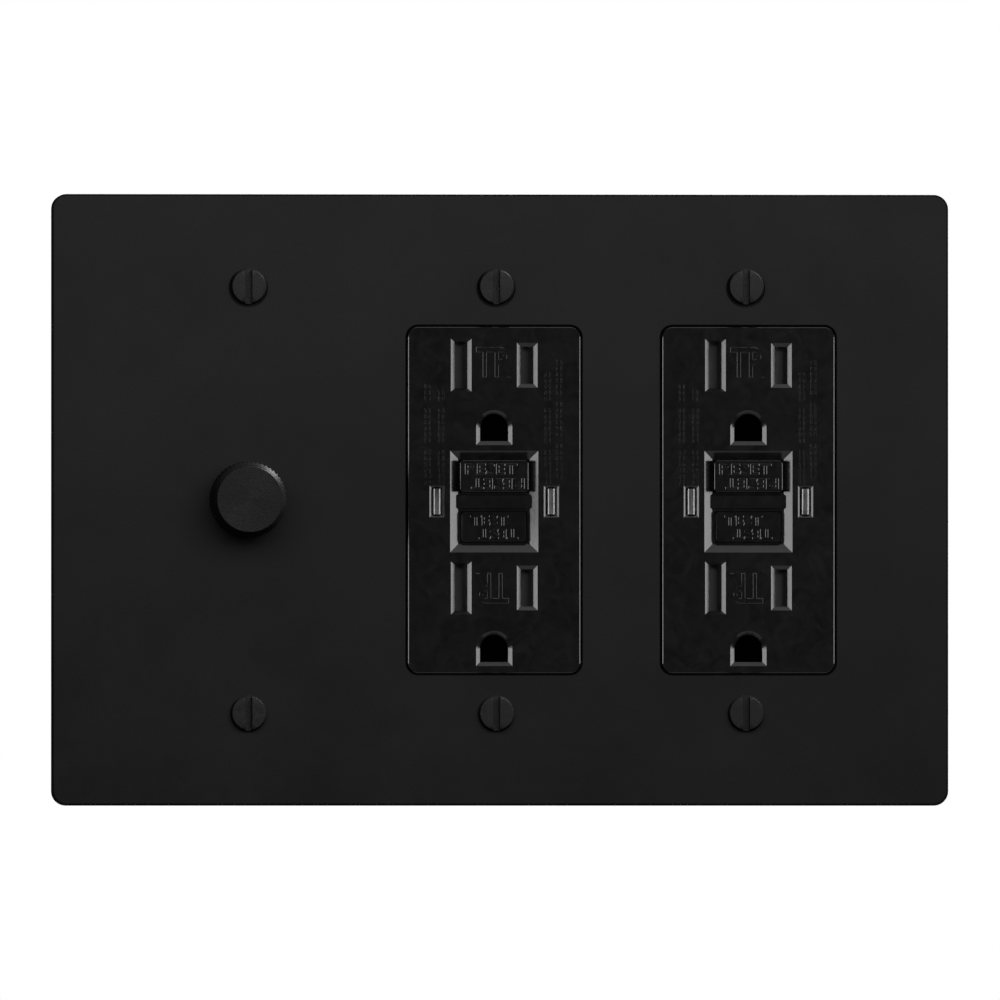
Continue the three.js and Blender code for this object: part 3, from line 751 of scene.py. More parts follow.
def frame_tool(low, high, depth):
    """A tool that cuts a shallow groove round the four sides of a block."""
    wide = Vector((OVER, 0, OVER))
    narrow = Vector((depth, -OVER, depth))
    outer = block("band", low - wide, high + wide)
    return cut(outer, block("core", low + narrow, high - narrow))


def wall_block(name, seat, outward, half, depth):
    """A square block that reaches a depth into a wall, from just outside it."""
    ends = (seat - outward * depth, seat + outward * OVER)
    reach = [0 if outward[axis] else half for axis in range(3)]
    low = [min(end[axis] for end in ends) - reach[axis] for axis in range(3)]
    high = [max(end[axis] for end in ends) + reach[axis] for axis in range(3)]
    return block(name, low, high)


def housing_shell(name, box, look, screw_sides, ground):
    """A tub open at the front: terminal pockets, wire holes, a parting line and a blank panel."""
    back_edge, pocket_floor, bore_length = 0.9 * MM, 2 * MM, 8 * MM
    wire_inset, wire_spacing, wire_depth = 5.5 * MM, 3.2 * MM, 6 * MM
    line_inset, line_width, line_depth = 5 * MM, 0.3 * MM, 0.3 * MM
    panel_depth, panel_corner = 0.3 * MM, 1.2 * MM
    half = look.pocket / 2
    middle_y = Box("middle_hot_upper_terminal_screw").centre.y
    seats = []
    for side in screw_sides:
        for level in (-look.terminal_height, look.terminal_height):
            seats.append((Vector((box.centre.x + side * box.size.x / 2, middle_y, level)),
                          Vector((side, 0, 0)), (0, 0, side * math.pi / 2)))
    if ground:
        seats.append((Vector((box.centre.x + look.ground_screw_offset, middle_y, box.low.z)),
                      Vector((0, 0, -1)), (-math.pi / 2, 0, 0)))

    shell = rounded_block(name, box.low, box.high, look.housing_corner, 6)
    bevel_edges(shell, lies_at(1, box.back), back_edge, 3)
    wall = Vector((look.housing_wall, 0, look.housing_wall))
    cavity = block("cavity", box.low + wall - Vector((0, OVER, 0)),
                   box.high - wall - Vector((0, look.housing_floor, 0)))
    for seat, outward, turn in seats:
        cut(cavity, wall_block("keep", seat, outward, half + OVER, look.housing_wall + pocket_floor))
    cut(shell, cavity)
    for seat, outward, turn in seats:
        cut(shell, wall_block("pocket", seat, outward, half, look.pocket_depth))
        bore = drum("bore", look.terminal_bore, -OVER, bore_length, 0, 0, 24)
        bore.rotation_euler = turn
        settle(bore)
        cut(shell, moved(bore, seat - outward * look.pocket_depth))
        if outward.x:
            for offset in (-wire_spacing, wire_spacing):
                cut(shell, drum("wire_hole", look.wire_hole, box.back - wire_depth, box.back + OVER,
                                seat.x - outward.x * wire_inset, seat.z + offset, 24))
    line = box.back - line_inset
    cut(shell, frame_tool(Vector((box.low.x, line - line_width / 2, box.low.z)),
                          Vector((box.high.x, line + line_width / 2, box.high.z)), line_depth))
    panel = around(box.centre.x, 0, look.panel_width, look.panel_height,
                   box.back - panel_depth, box.back + OVER)
    cut(shell, rounded_block("panel", *panel, panel_corner, 4))
    return soften(shell, 0.12 * MM, 1)


def build_housings(look):
    material = moulded_matte("housing plastic", look.housing)
    shell = housing_shell("middle_outlet_housing_shape", HOUSING, look, (-1, 1), True)
    post = around(HOUSING.centre.x, 0, look.post_width, look.post_height, look.post_front,
                  HOUSING.back - look.housing_floor / 2)
    post_corner = 0.8 * MM
    fuse(shell, rounded_block("post", *post, post_corner, 3))
    twin = copy_of(shell, "right_outlet_housing_shape", OUTLET_SHIFT)
    dimmer = housing_shell("dimmer_housing_shape", Box("dimmer_housing"), look, (-1,), False)
    for piece, node in ((shell, "middle_outlet_housing"), (twin, "right_outlet_housing"),
                        (dimmer, "dimmer_housing")):
        stand_in(piece, "plate", [node], material)


def build_terminal_screws(look):
    """The side and ground screws, each turned to face out of its pocket."""
    box = Box("middle_hot_upper_terminal_screw")
    head_radius = box.size.z / 2
    pattern = slotted_screw("terminal_pattern", look, head_radius, box.size.x - look.head_height, 32)
    finishes = {
        "brass": plated_metal("brass screw", look.brass, 0.28, (1, 1, 1)),
        "steel": plated_metal("nickel screw", look.steel, 0.28, (1, 1, 1)),
        "green_screw": plated_metal("green screw", look.green, 0.35, (1, 1, 1)),
    }
    screws = [("dimmer_upper_terminal_screw", -1, "brass"), ("dimmer_lower_terminal_screw", -1, "brass")]
    for name in OUTLETS:
        for level in ("upper", "lower"):
            screws.append((f"{name}_hot_{level}_terminal_screw", 1, "brass"))
            screws.append((f"{name}_neutral_{level}_terminal_screw", -1, "steel"))
    for node, side, finish in screws:
        place = Box(node)
        seat = place.high.x - look.head_height if side > 0 else place.low.x + look.head_height
        screw = copy_of(pattern, f"{node}_shape")
        screw.rotation_euler = (0, 0, side * math.pi / 2)
        settle(screw)
        moved(screw, (seat, place.centre.y, place.centre.z))
        stand_in(screw, "plate", [node], finishes[finish])
    for name in OUTLETS:
        node = f"{name}_ground_terminal_screw"
        place = Box(node)
        screw = copy_of(pattern, f"{node}_shape")
        screw.rotation_euler = (math.pi / 2, 0, 0)
        settle(screw)
        moved(screw, (place.centre.x, place.centre.y, place.low.z + look.head_height))
        stand_in(screw, "plate", [node], finishes["green_screw"])
    remove(pattern)


# ---------------------------------------------------------------- dimmer

def build_knob(look):
    """The push knob: a turned face set in a ring with straight teeth, and a bore behind."""
    x, z = KNOB.centre.x, KNOB.centre.z
    front, back = KNOB.front, KNOB.back
    radius = KNOB.size.x / 2
    slope = radius - look.ring
    ring_front = front + look.ring_drop
    groove_end = back - look.band
    bore_end = front + look.bore_end
    fillet, rim_width, rim_bend, rim_depth = 0.05 * MM, 0.2 * MM, 0.12 * MM, 0.3 * MM
    knob = lathe("dimmer_knob_shape", [
        (0, front), (look.face - rim_width, front), (look.face - fillet, front + rim_bend),
        (look.face, front + rim_depth), (look.face, ring_front - fillet),
        (look.face + fillet, ring_front), (look.ring, ring_front), (radius, ring_front + slope),
        (radius, groove_end), (radius, groove_end + look.tooth_depth), (radius, back - slope),
        (radius - slope, back), (look.bore, back), (look.bore, bore_end), (0, bore_end),
    ], 2 * look.teeth, x, z)
    half_tooth = math.pi / look.teeth

    def in_groove(vert):
        reach = math.hypot(vert.co.x - x, vert.co.z - z)
        column = round(math.atan2(vert.co.z - z, vert.co.x - x) / half_tooth)
        return abs(reach - radius) < NUDGE and column % 2 == 1

    inward = (radius - look.tooth_depth) / radius
    for end, shift in ((ring_front + slope, -look.tooth_depth), (groove_end, 0)):
        with editing(knob):
            pick(knob, "verts", lambda vert: in_groove(vert) and abs(vert.co.y - end) < NUDGE)
            bpy.ops.transform.resize(value=(inward, 1, inward), center_override=(x, end, z))
            bpy.ops.transform.translate(value=(0, shift, 0))
    material = turned_coat("knob coat", look.coat, KNOB.centre, 0.04 * MM)
    stand_in(knob, "knob", ["dimmer_knob"], material, 20)


def coil(name, box, wire, turns):
    """A compression spring along Y with closed wire ends, fitted to a box."""
    radius = box.size.x / 2 - wire
    pitch = (box.size.y - 2 * wire) / turns
    deselect_all()
    bpy.ops.mesh.primitive_circle_add(vertices=10, radius=wire, location=(radius, box.front + wire, 0))
    spring = bpy.context.object
    spring.name = name
    settle(spring)
    swept_round(spring, pitch, turns, 28)
    with editing(spring):
        bpy.ops.mesh.select_all(action="SELECT")
        bpy.ops.mesh.fill_holes(sides=0)
    close_up(spring)
    return moved(spring, (box.centre.x, 0, box.centre.z))


def build_springs(look):
    """The button and plunger springs."""
    material = drawn_wire("spring wire", look.steel)
    plunger_wire, button_wire = 0.35 * MM, 0.3 * MM
    plunger_turns, button_turns = 5, 7
    springs = [("dimmer_plunger_spring", "dimmer_push", plunger_wire, plunger_turns)]
    for name in OUTLETS:
        for button in BUTTON_WORDS:
            springs.append((f"{name}_{button}_spring", f"{name}_{button}_push", button_wire, button_turns))
    for node, joint, wire, turns in springs:
        box = Box(node)
        spring = coil(f"{node}_shape", box, wire, turns)
        stand_in(spring, "plate", [node], material)
        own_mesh(spring)


def build_dimmer_works(look):
    """The dimmer's bushing, nut, shaft, plunger, potentiometer, board and choke."""
    brass = plated_metal("bushing brass", look.brass, 0.3, (1, 1, 1))
    steel = plated_metal("dimmer steel", look.steel, 0.32, (1, 1, 1))
    repaint("dimmer_bushing", brass)
    repaint("dimmer_bushing_nut", steel)
    repaint("dimmer_shaft", steel)
    repaint("dimmer_potentiometer", steel)
    repaint("dimmer_switch_plunger", moulded_matte("plunger plastic", look.shutter))
    repaint("dimmer_circuit_board", solder_mask("dimmer board", look.board))
    repaint("dimmer_choke_coil", wound_copper("choke winding", look.copper))


# ---------------------------------------------------------------- outlets

def keyhole(name, radius, drop, front, back, x, z, growth, depth):
    """A tool for a ground hole: round above, flat below, with a sloped mouth."""
    tool = drum(name, radius, front + depth, back, x, z, 40)
    with editing(tool):
        bpy.ops.mesh.select_all(action="SELECT")
        bpy.ops.mesh.bisect(plane_co=(x, 0, z), plane_no=(0, 0, 1), use_fill=True, clear_inner=True)
        pick(tool, "faces", lies_at(2, z))
        bpy.ops.mesh.extrude_region_move(TRANSFORM_OT_translate={"value": (0, 0, -drop)})
    return flare_front(close_up(tool), growth, depth)


def build_outlet_faces(look):
    """Both outlet fronts: slots, ground holes, button well, windows and raised marks."""
    x, front = FACE.centre.x, FACE.front
    back = FACE.back
    flange_corner, cavity_corner, broken_edge = look.corner + 0.5 * MM, 1.2 * MM, 0.06 * MM
    rise = look.edge * look.steepness
    face = rounded_block("middle_outlet_face_shape", *around(
        x, 0, look.face_width, look.face_height, front + rise, look.flange_front + OVER), look.corner, 10)
    flare_front(face, -look.edge, rise, 0)
    flange = rounded_block("flange", (FACE.low.x, look.flange_front, FACE.low.z), FACE.high,
                           flange_corner, 6)
    fuse(face, flange)
    cut(face, rounded_block("cavity", *around(x, 0, look.cavity_width, look.cavity_height,
                                              front + look.wall, back + OVER), cavity_corner, 4))
    cut_blade_slots(face, look, x, front)
    for level in (look.upper_ground, look.lower_ground):
        cut(face, keyhole("ground", look.ground_radius, look.ground_drop, front, 2 * OVER, x, level,
                          look.ground_slope, look.ground_slope * look.steepness))
    cut_well(face, look, x, front)
    for offset in (-look.window_offset, look.window_offset):
        slope = look.window_slope
        depth = slope * look.steepness
        tool = block("window", *around(x + offset, look.window_centre, look.window_width, look.window_height,
                                       front + depth, OVER))
        cut(face, flare_front(tool, slope, depth))
    soften(face, broken_edge, 2, 40)
    attach(face, *face_marks(look, x, front))
    twin = copy_of(face, "right_outlet_face_shape", OUTLET_SHIFT)
    material = moulded_gloss("outlet plastic", look.plastic)
    stand_in(face, "plate", ["middle_outlet_face"], material)
    stand_in(twin, "plate", ["right_outlet_face"], material)


def cut_blade_slots(face, look, x, front):
    slope = look.slot_slope
    kinds = ((-1, look.long_slot, look.long_mouth), (1, look.short_slot, look.short_mouth))
    for side, height, mouth in kinds:
        for level in (look.upper_blades, look.lower_blades):
            tool = block("slot", *around(x + side * look.blade_offset, level, look.slot_width, height,
                                         front + slope, OVER))
            with editing(tool):
                pick(tool, "faces", lies_at(1, front + slope))
                bpy.ops.mesh.extrude_region_move(TRANSFORM_OT_translate={"value": (0, -slope, 0)})
                wider = (look.slot_mouth / look.slot_width, 1, mouth / height)
                bpy.ops.transform.resize(value=wider,
                                         center_override=(x + side * look.blade_offset, front, level))
                bpy.ops.mesh.extrude_region_move(TRANSFORM_OT_translate={"value": (0, -OVER, 0)})
            cut(face, tool)


def cut_well(face, look, x, front):
    """A sloped well with two button holes, crossed by a sloped bar between the buttons."""
    floor = front + look.well_depth
    slope = look.well_slope
    well = block("well", *around(x, look.well_centre, look.well_width - 2 * slope,
                                 look.well_height - 2 * slope, floor - NUDGE, floor))
    cut(face, flare_front(well, slope, look.well_depth))
    bar_front = front + look.bar_depth
    slant = look.bar_slope
    reach = look.well_width - 2 * look.well_slope * look.bar_depth / look.well_depth + 2 * NUDGE
    bar = block("bar", *around(x, look.bar_centre, reach, look.bar_height, bar_front, floor + 0.5 * MM))
    with editing(bar):
        pick(bar, "edges", lambda edge: lies_at(1, bar_front)(edge) and runs_along(0)(edge))
        bpy.ops.mesh.bevel(offset=slant, segments=1, affect="EDGES")
    fuse(face, bar)
    for node in ("middle_reset_button", "middle_test_button"):
        width, height, level = button_place(look, node)
        gap = look.button_gap
        cut(face, block("button_hole", *around(x, level, width + 2 * gap, height + 2 * gap,
                                               bar_front, 2 * OVER)))


def button_place(look, node):
    """Width, height and level of a button's cap: the node's box less its rear flange."""
    box = Box(node)
    lip = look.button_lip
    return box.size.x - 2 * lip, box.size.z - 2 * lip, box.centre.z


def face_marks(look, x, front):
    """The raised letters beside the slots and the fine dashes along both sides."""
    marks = []
    for name, across, up, wide, tall, over in SLOT_MARKS:
        marks.append(lettering(name, "TR", (x + across * MM, front, up * MM), (wide * MM, tall * MM),
                               look.mark_slope, look.mark_steepness, look.mark_thicker, over))
    rise = look.dash_height
    half_width, half_length, half_gap = 0.13 * MM, 0.4 * MM, 0.42 * MM
    dash = block("dash_pattern", (-half_width, -rise, -half_length), (half_width, rise, half_length))
    bevel_edges(dash, lies_at(1, -rise), 0.8 * rise, 1)
    for offset, low, high in DASH_ROWS:
        for index in range(int((high - low) * MM / DASH_SPACING)):
            if index % DASHES_IN_GROUP == DASHES_IN_GROUP - 1:
                continue
            for side in (-half_gap, half_gap):
                place = (x + offset * MM + side, front, low * MM + index * DASH_SPACING)
                marks.append(copy_of(dash, "dash", place))
    remove(dash)
    return marks


def build_buttons(look):
    """Reset and test buttons: softened caps with raised words, a flange and a spring stem."""
    cap_corner, stem_radius = 0.5 * MM, 1.2 * MM
    material = moulded_gloss("button plastic", look.button_plastic, 0.13)
    for kind, lines in BUTTON_WORDS.items():
        node = f"middle_{kind}_button"
        box = Box(node)
        width, height, level = button_place(look, node)
        x, front = box.centre.x, box.front
        rise = look.button_edge * look.steepness
        cap = rounded_block(f"{node}_shape", *around(x, level, width, height, front + rise,
                                                     look.button_flange + NUDGE), cap_corner, 5)
        flare_front(cap, -look.button_edge, rise, 0)
        flange = block("flange", *around(x, level, box.size.x, box.size.z, look.button_flange,
                                         look.button_flange + FLANGE))
        stem = drum("stem", stem_radius, look.button_flange + 0.8 * FLANGE, box.back, x, level, 24)
        fuse(cap, flange, stem)
        for across, up, wide, tall, over in lines:
            word = lettering("word", kind.upper(), (x + across * MM, front, up * MM), (wide * MM, tall * MM),
                             look.word_slope, look.mark_steepness, look.word_thicker, over)
            attach(cap, word)
        twin = copy_of(cap, f"right_{kind}_button_shape", OUTLET_SHIFT)
        stand_in(cap, f"middle_{kind}", [node], material)
        stand_in(twin, f"right_{kind}", [f"right_{kind}_button"], material)


def build_shutters(look):
    """Four tamper shutters: a plate with two windows."""
    material = moulded_matte("shutter plastic", look.shutter_plastic, 0.5)
    box = Box("middle_upper_shutter")
    x = FACE.centre.x
    corner, spare_width, spare_height = 0.8 * MM, 0.3 * MM, 0.5 * MM
    shutter = rounded_block("shutter_pattern", box.low, box.high, corner, 3)
    travel = 2 * (x - box.centre.x)
    for side in (-1, 1):
        place = x + side * look.blade_offset - travel
        window = block("window", *around(place, box.centre.z, look.slot_width + spare_width,
                                         look.long_slot + spare_height, PLATE.front, OVER))
        cut(shutter, window)
    soften(shutter, SOFT, 2)
    for name in OUTLETS:
        for level in ("upper", "lower"):
            node = f"{name}_{level}_shutter"
            shift = Box(node).centre - box.centre
            piece = copy_of(shutter, f"{node}_shape", shift)
            stand_in(piece, node, [node], material)
    remove(shutter)


def build_lenses(look):
    """Four indicator lenses: a light pipe with a rounded front and a flange behind the face."""
    material = smoky_lens("indicator lens", look.lens)
    box = Box("middle_left_indicator_lens")
    lip = look.button_lip
    rounding = 0.6 * MM
    x, level = box.centre.x, box.centre.z
    front = FACE.front + look.lens_drop
    pipe = block("lens_pattern", *around(x, level, box.size.x - 2 * lip, box.size.z - 2 * lip,
                                         front, box.back))
    with editing(pipe):
        pick(pipe, "edges", lambda edge: lies_at(1, front)(edge) and runs_along(2)(edge))
        bpy.ops.mesh.bevel(offset=rounding, segments=6, affect="EDGES")
    fuse(pipe, block("flange", *around(x, level, box.size.x, box.size.z, look.button_flange,
                                       look.button_flange + FLANGE)))
    for name in OUTLETS:
        for side in ("left", "right"):
            node = f"{name}_{side}_indicator_lens"
            shift = Box(node).centre - box.centre
            stand_in(copy_of(pipe, f"{node}_shape", shift), "plate", [node], material)
    remove(pipe)


def build_contacts(look):
    """The blade and ground contacts and the boards inside both outlets."""
    brass = plated_metal("contact brass", look.brass, 0.3, (1, 1, 0.05))
    # Painted shade: the ground contacts are coloured dark to stand for the shade deep inside the ground
    # holes; only their rough plating is their own finish.
    dull = plated_metal("dull ground contact", look.ground_contact, 0.5, (1, 1, 0.05))
    board = solder_mask("outlet board", look.board)
    for name in OUTLETS:
        repaint(f"{name}_hot_contact", brass)
        repaint(f"{name}_neutral_contact", brass)
        repaint(f"{name}_ground_contact", dull)
        repaint(f"{name}_circuit_board", board)


# ---------------------------------------------------------------- stage

def area_light(name, place, target, size, strength, only=()):
    """A soft rectangular light that faces a point, with a given brightness of its surface. It can
    be kept to a few pieces."""
    data = bpy.data.lights.new(name, "AREA")
    data.shape = "RECTANGLE"
    data.size, data.size_y = size
    data.energy = strength * math.pi * size[0] * size[1]
    light = bpy.data.objects.new(name, data)
    light.location = place
    light.rotation_euler = (Vector(target) - Vector(place)).to_track_quat("-Z", "Y").to_euler()
    light.visible_camera = False
    bpy.context.scene.collection.objects.link(light)
    if only:
        lit = bpy.data.collections.new(f"lit by {name}")
        for piece in only:
            lit.objects.link(piece)
        light.light_linking.receiver_collection = lit


def built(*words):
    """The new pieces whose names hold any of the words."""
    return [piece for piece in bpy.data.objects
            if piece.name.endswith("_shape") and any(word in piece.name for word in words)]


def from_plate(turn, height, distance):
    """A place seen from the plate: turned anticlockwise from the right, and raised off its front."""
    turn, height = math.radians(turn), math.radians(height)
    along = math.cos(height) * distance
    return Vector((math.cos(turn) * along, PLATE.front - math.sin(height) * distance, math.sin(turn) * along))


def build_stage(look):
    """Camera, lights and a plain white surround that lights the pieces only faintly."""
    scene = bpy.context.scene
    world = bpy.data.worlds.new("studio")
    scene.world = world
    sky = Tree(world)
    rays = sky.node("ShaderNodeLightPath", output="Is Camera Ray")
    dim = sky.node("ShaderNodeBackground", sockets={"Color": (1, 1, 1, 1), "Strength": look.surround})
    white = sky.node("ShaderNodeBackground", sockets={"Color": (1, 1, 1, 1), "Strength": 1})
    mixed = sky.node("ShaderNodeMixShader", sockets={0: rays, 1: dim, 2: white})
    sky.node("ShaderNodeOutputWorld", sockets={"Surface": mixed})

    middle = Vector((0, PLATE.front, 0))
    outlets = built("outlet_face", "button", "lens", "shutter")
    turned = built("knob", "plate_screw")
    coated = turned + built("face_plate", "plate_shape")
    # Turn and height in degrees, distance and size in metres.
    lights = (
        ("main", 35, 66, 1.2, (0.7, 0.7), look.main, coated),
        ("top", 100, 71, 0.48, (0.7, 0.2), look.top, coated),
        ("front", 40, 60, 1.2, (0.35, 0.35), look.front, outlets),
        ("left", 180, 8, 0.6, (1.3, 0.17), look.side, outlets),
        ("right", 0, 8, 0.6, (1.3, 0.17), look.side, outlets),
        ("over", 90, 8, 0.6, (1.2, 0.17), look.over, outlets),
        ("under", 270, 8, 0.6, (1.2, 0.17), look.under, outlets),
        ("rim", 52, 14, 1.0, (0.9, 0.35), look.rim, turned),
    )
    for name, turn, height, distance, size, strength, pieces in lights:
        area_light(name, from_plate(turn, height, distance), middle, size, strength, pieces)
    area_light("back", (0.3, 1.2, 0.4), middle, (0.6, 0.6), look.back)

    data = bpy.data.cameras.new("camera")
    data.lens = data.sensor_width * look.distance / look.field
    data.clip_end = 20
    camera = bpy.data.objects.new("camera", data)
    target = Vector((look.aim_x, PLATE.front, look.aim_z))
    turn, tilt = look.view_turn, look.view_tilt
    direction = Vector((math.sin(turn) * math.cos(tilt), -math.cos(turn) * math.cos(tilt), math.sin(tilt)))
    camera.location = target + direction * look.distance
    camera.rotation_euler = (-direction).to_track_quat("-Z", "Y").to_euler()
    scene.collection.objects.link(camera)
    scene.camera = camera
    scene.view_settings.view_transform = "Standard"


# ---------------------------------------------------------------- settings

def length(name, description, millimetres):
    return FloatProperty(name=name, description=description, default=millimetres * MM,
                         precision=5, subtype="DISTANCE", unit="LENGTH")


def tint(name, description, *value):
    return FloatVectorProperty(name=name, description=description, default=value,
                               subtype="COLOR", size=3, min=0, max=1)


def brightness(name, description, value):
    return FloatProperty(name=name, description=description, default=value, min=0)


class PlateSettings(bpy.types.PropertyGroup):
    corner: length("Corner", "Radius of the plate's corners", 2.8)
    edge: length("Edge", "Radius of the softened front edge", 0.5)
    skin: length("Skin", "Thickness of the metal behind the front", 2.0)
    rim: length("Rim", "Width of the rim that meets the wall", 3.0)
    opening_width: length("Opening width", "Width of each device opening", 33.9)
    opening_height: length("Opening height", "Height of each device opening", 67.2)
    opening_corner: length("Opening corner", "Corner radius of each device opening", 2.4)
    screw_hole: length("Screw hole", "Radius of the screw holes", 2.0)
    seat: length("Seat", "Radius of the groove round each screw head's seat", 3.45)
    seat_drop: length("Seat drop", "How far the upper grooves are set down from their screws", 0.3)
    seat_depth: length("Seat depth", "Depth of the grooves round the screw seats", 1.6)
    knob_hole: length("Knob hole", "Radius of the hole for the dimmer's bushing", 5.0)
    boss: length("Boss", "Radius of the bosses behind the screw holes", 4.0)
    boss_gap: length("Boss end", "Distance of the boss ends from the wall", 1.5)
    coat: tint("Coat", "Colour of the plate's coating", 0.0125, 0.0125, 0.0127)


class ScrewSettings(bpy.types.PropertyGroup):
    slot: length("Slot", "Width of the screw slot", 1.16)
    slot_depth: length("Slot depth", "Depth of the screw slot", 0.95)
    head_height: length("Head", "Height of a screw head", 1.8)
    head_edge: length("Head edge", "Radius of the head's rolled edge", 0.22)
    head_draft: length("Head draft", "How much wider a head is at its foot", 0.22)
    crest: length("Crest", "Outer radius of the thread", 1.7)
    thread: length("Thread", "Height of the thread", 0.35)
    pitch: length("Pitch", "Thread pitch", 0.794)
    coat: tint("Coat", "Colour of the plate screws", 0.0125, 0.0125, 0.0127)
    brass: tint("Brass", "Colour of the hot terminal screws", 0.66, 0.46, 0.17)
    steel: tint("Steel", "Colour of the neutral terminal screws", 0.56, 0.56, 0.57)
    green: tint("Green", "Colour of the ground terminal screws", 0.04, 0.26, 0.08)


class KnobSettings(bpy.types.PropertyGroup):
    teeth: IntProperty(name="Teeth", description="Number of teeth round the grip", default=52, min=12)
    tooth_depth: length("Tooth depth", "Depth of the grooves between the teeth", 0.3)
    band: length("Band", "Width of the smooth band behind the teeth", 3.0)
    face: length("Face", "Radius of the smooth cap that stands out of the toothed ring", 6.45)
    ring: length("Ring", "Radius where the toothed ring's sloped edge starts", 6.58)
    ring_drop: length("Ring drop", "From the face to the front of the toothed ring", 2.9)
    bore: length("Bore", "Radius of the bore for the shaft", 3.5)
    bore_end: length("Bore end", "From the face to the bottom of the bore", 3.4)
    coat: tint("Coat", "Colour of the knob", 0.009, 0.009, 0.0092)


class DeviceSettings(bpy.types.PropertyGroup):
    strap_corner: length("Strap corner", "Corner radius of the straps", 3.0)
    strap_slot_height: length("Slot height", "Distance of a strap's screw slots from its middle", 41.0)
    strap_slot_length: length("Slot length", "Length of a strap's screw slots", 7.5)
    strap_slot_width: length("Slot width", "Width of a strap's screw slots", 4.2)
    strap_tap_height: length("Tap height", "Distance of the tapped holes from the middle", 48.4)
    strap_tap: length("Tap", "Radius of the tapped holes", 1.5)
    strap_window_width: length("Window width", "Width of an outlet strap's window", 34.0)
    strap_window_height: length("Window height", "Height of an outlet strap's window", 67.5)
    strap_window_corner: length("Window corner", "Corner radius of an outlet strap's window", 2.6)
    strap_bushing_hole: length("Bushing hole", "Radius of the hole in the dimmer's strap", 4.8)
    ear_offset: length("Ear offset", "Distance of the scored ears from the middle", 14.0)
    ear_score: length("Ear score", "Outer radius of the scored ears", 4.4)
    housing_corner: length("Housing corner", "Corner radius of the housings", 2.5)
    housing_wall: length("Housing wall", "Thickness of the housing walls", 2.2)
    housing_floor: length("Housing floor", "Thickness of the housing floors", 2.0)
    pocket: length("Pocket", "Width of a terminal screw's pocket", 8.0)
    pocket_depth: length("Pocket depth", "Depth of a terminal screw's pocket", 2.6)
    terminal_height: length("Terminal height", "Distance of the side screws from the middle", 12.0)
    terminal_bore: length("Terminal bore", "Radius of a terminal screw's hole", 2.0)
    ground_screw_offset: length("Ground screw", "Distance of the ground screw from the middle", 12.0)
    wire_hole: length("Wire hole", "Radius of the rear wire holes", 1.3)
    panel_width: length("Panel width", "Width of the blank panel on the back", 16.0)
    panel_height: length("Panel height", "Height of the blank panel on the back", 40.0)
    post_width: length("Post width", "Width of the post behind the button springs", 8.0)
    post_height: length("Post height", "Height of the post behind the button springs", 18.0)
    post_front: length("Post front", "Where the post's front lies behind the wall line", 8.0)
    travel: length("Travel", "How far a button or the dimmer's knob is pressed", 1.2)
    housing: tint("Housing", "Colour of the rear housings", 0.016, 0.016, 0.017)
    steel: tint("Steel", "Colour of zinc-plated steel", 0.56, 0.56, 0.57)
    aluminium: tint("Aluminium", "Colour of the dimmer's strap", 0.66, 0.66, 0.67)
    brass: tint("Brass", "Colour of brass pieces", 0.66, 0.46, 0.17)
    copper: tint("Copper", "Colour of the choke's winding", 0.55, 0.2, 0.08)
    shutter: tint("Plunger", "Colour of the switch plunger", 0.2, 0.2, 0.2)
    board: tint("Board", "Colour of the circuit boards", 0.015, 0.12, 0.04)


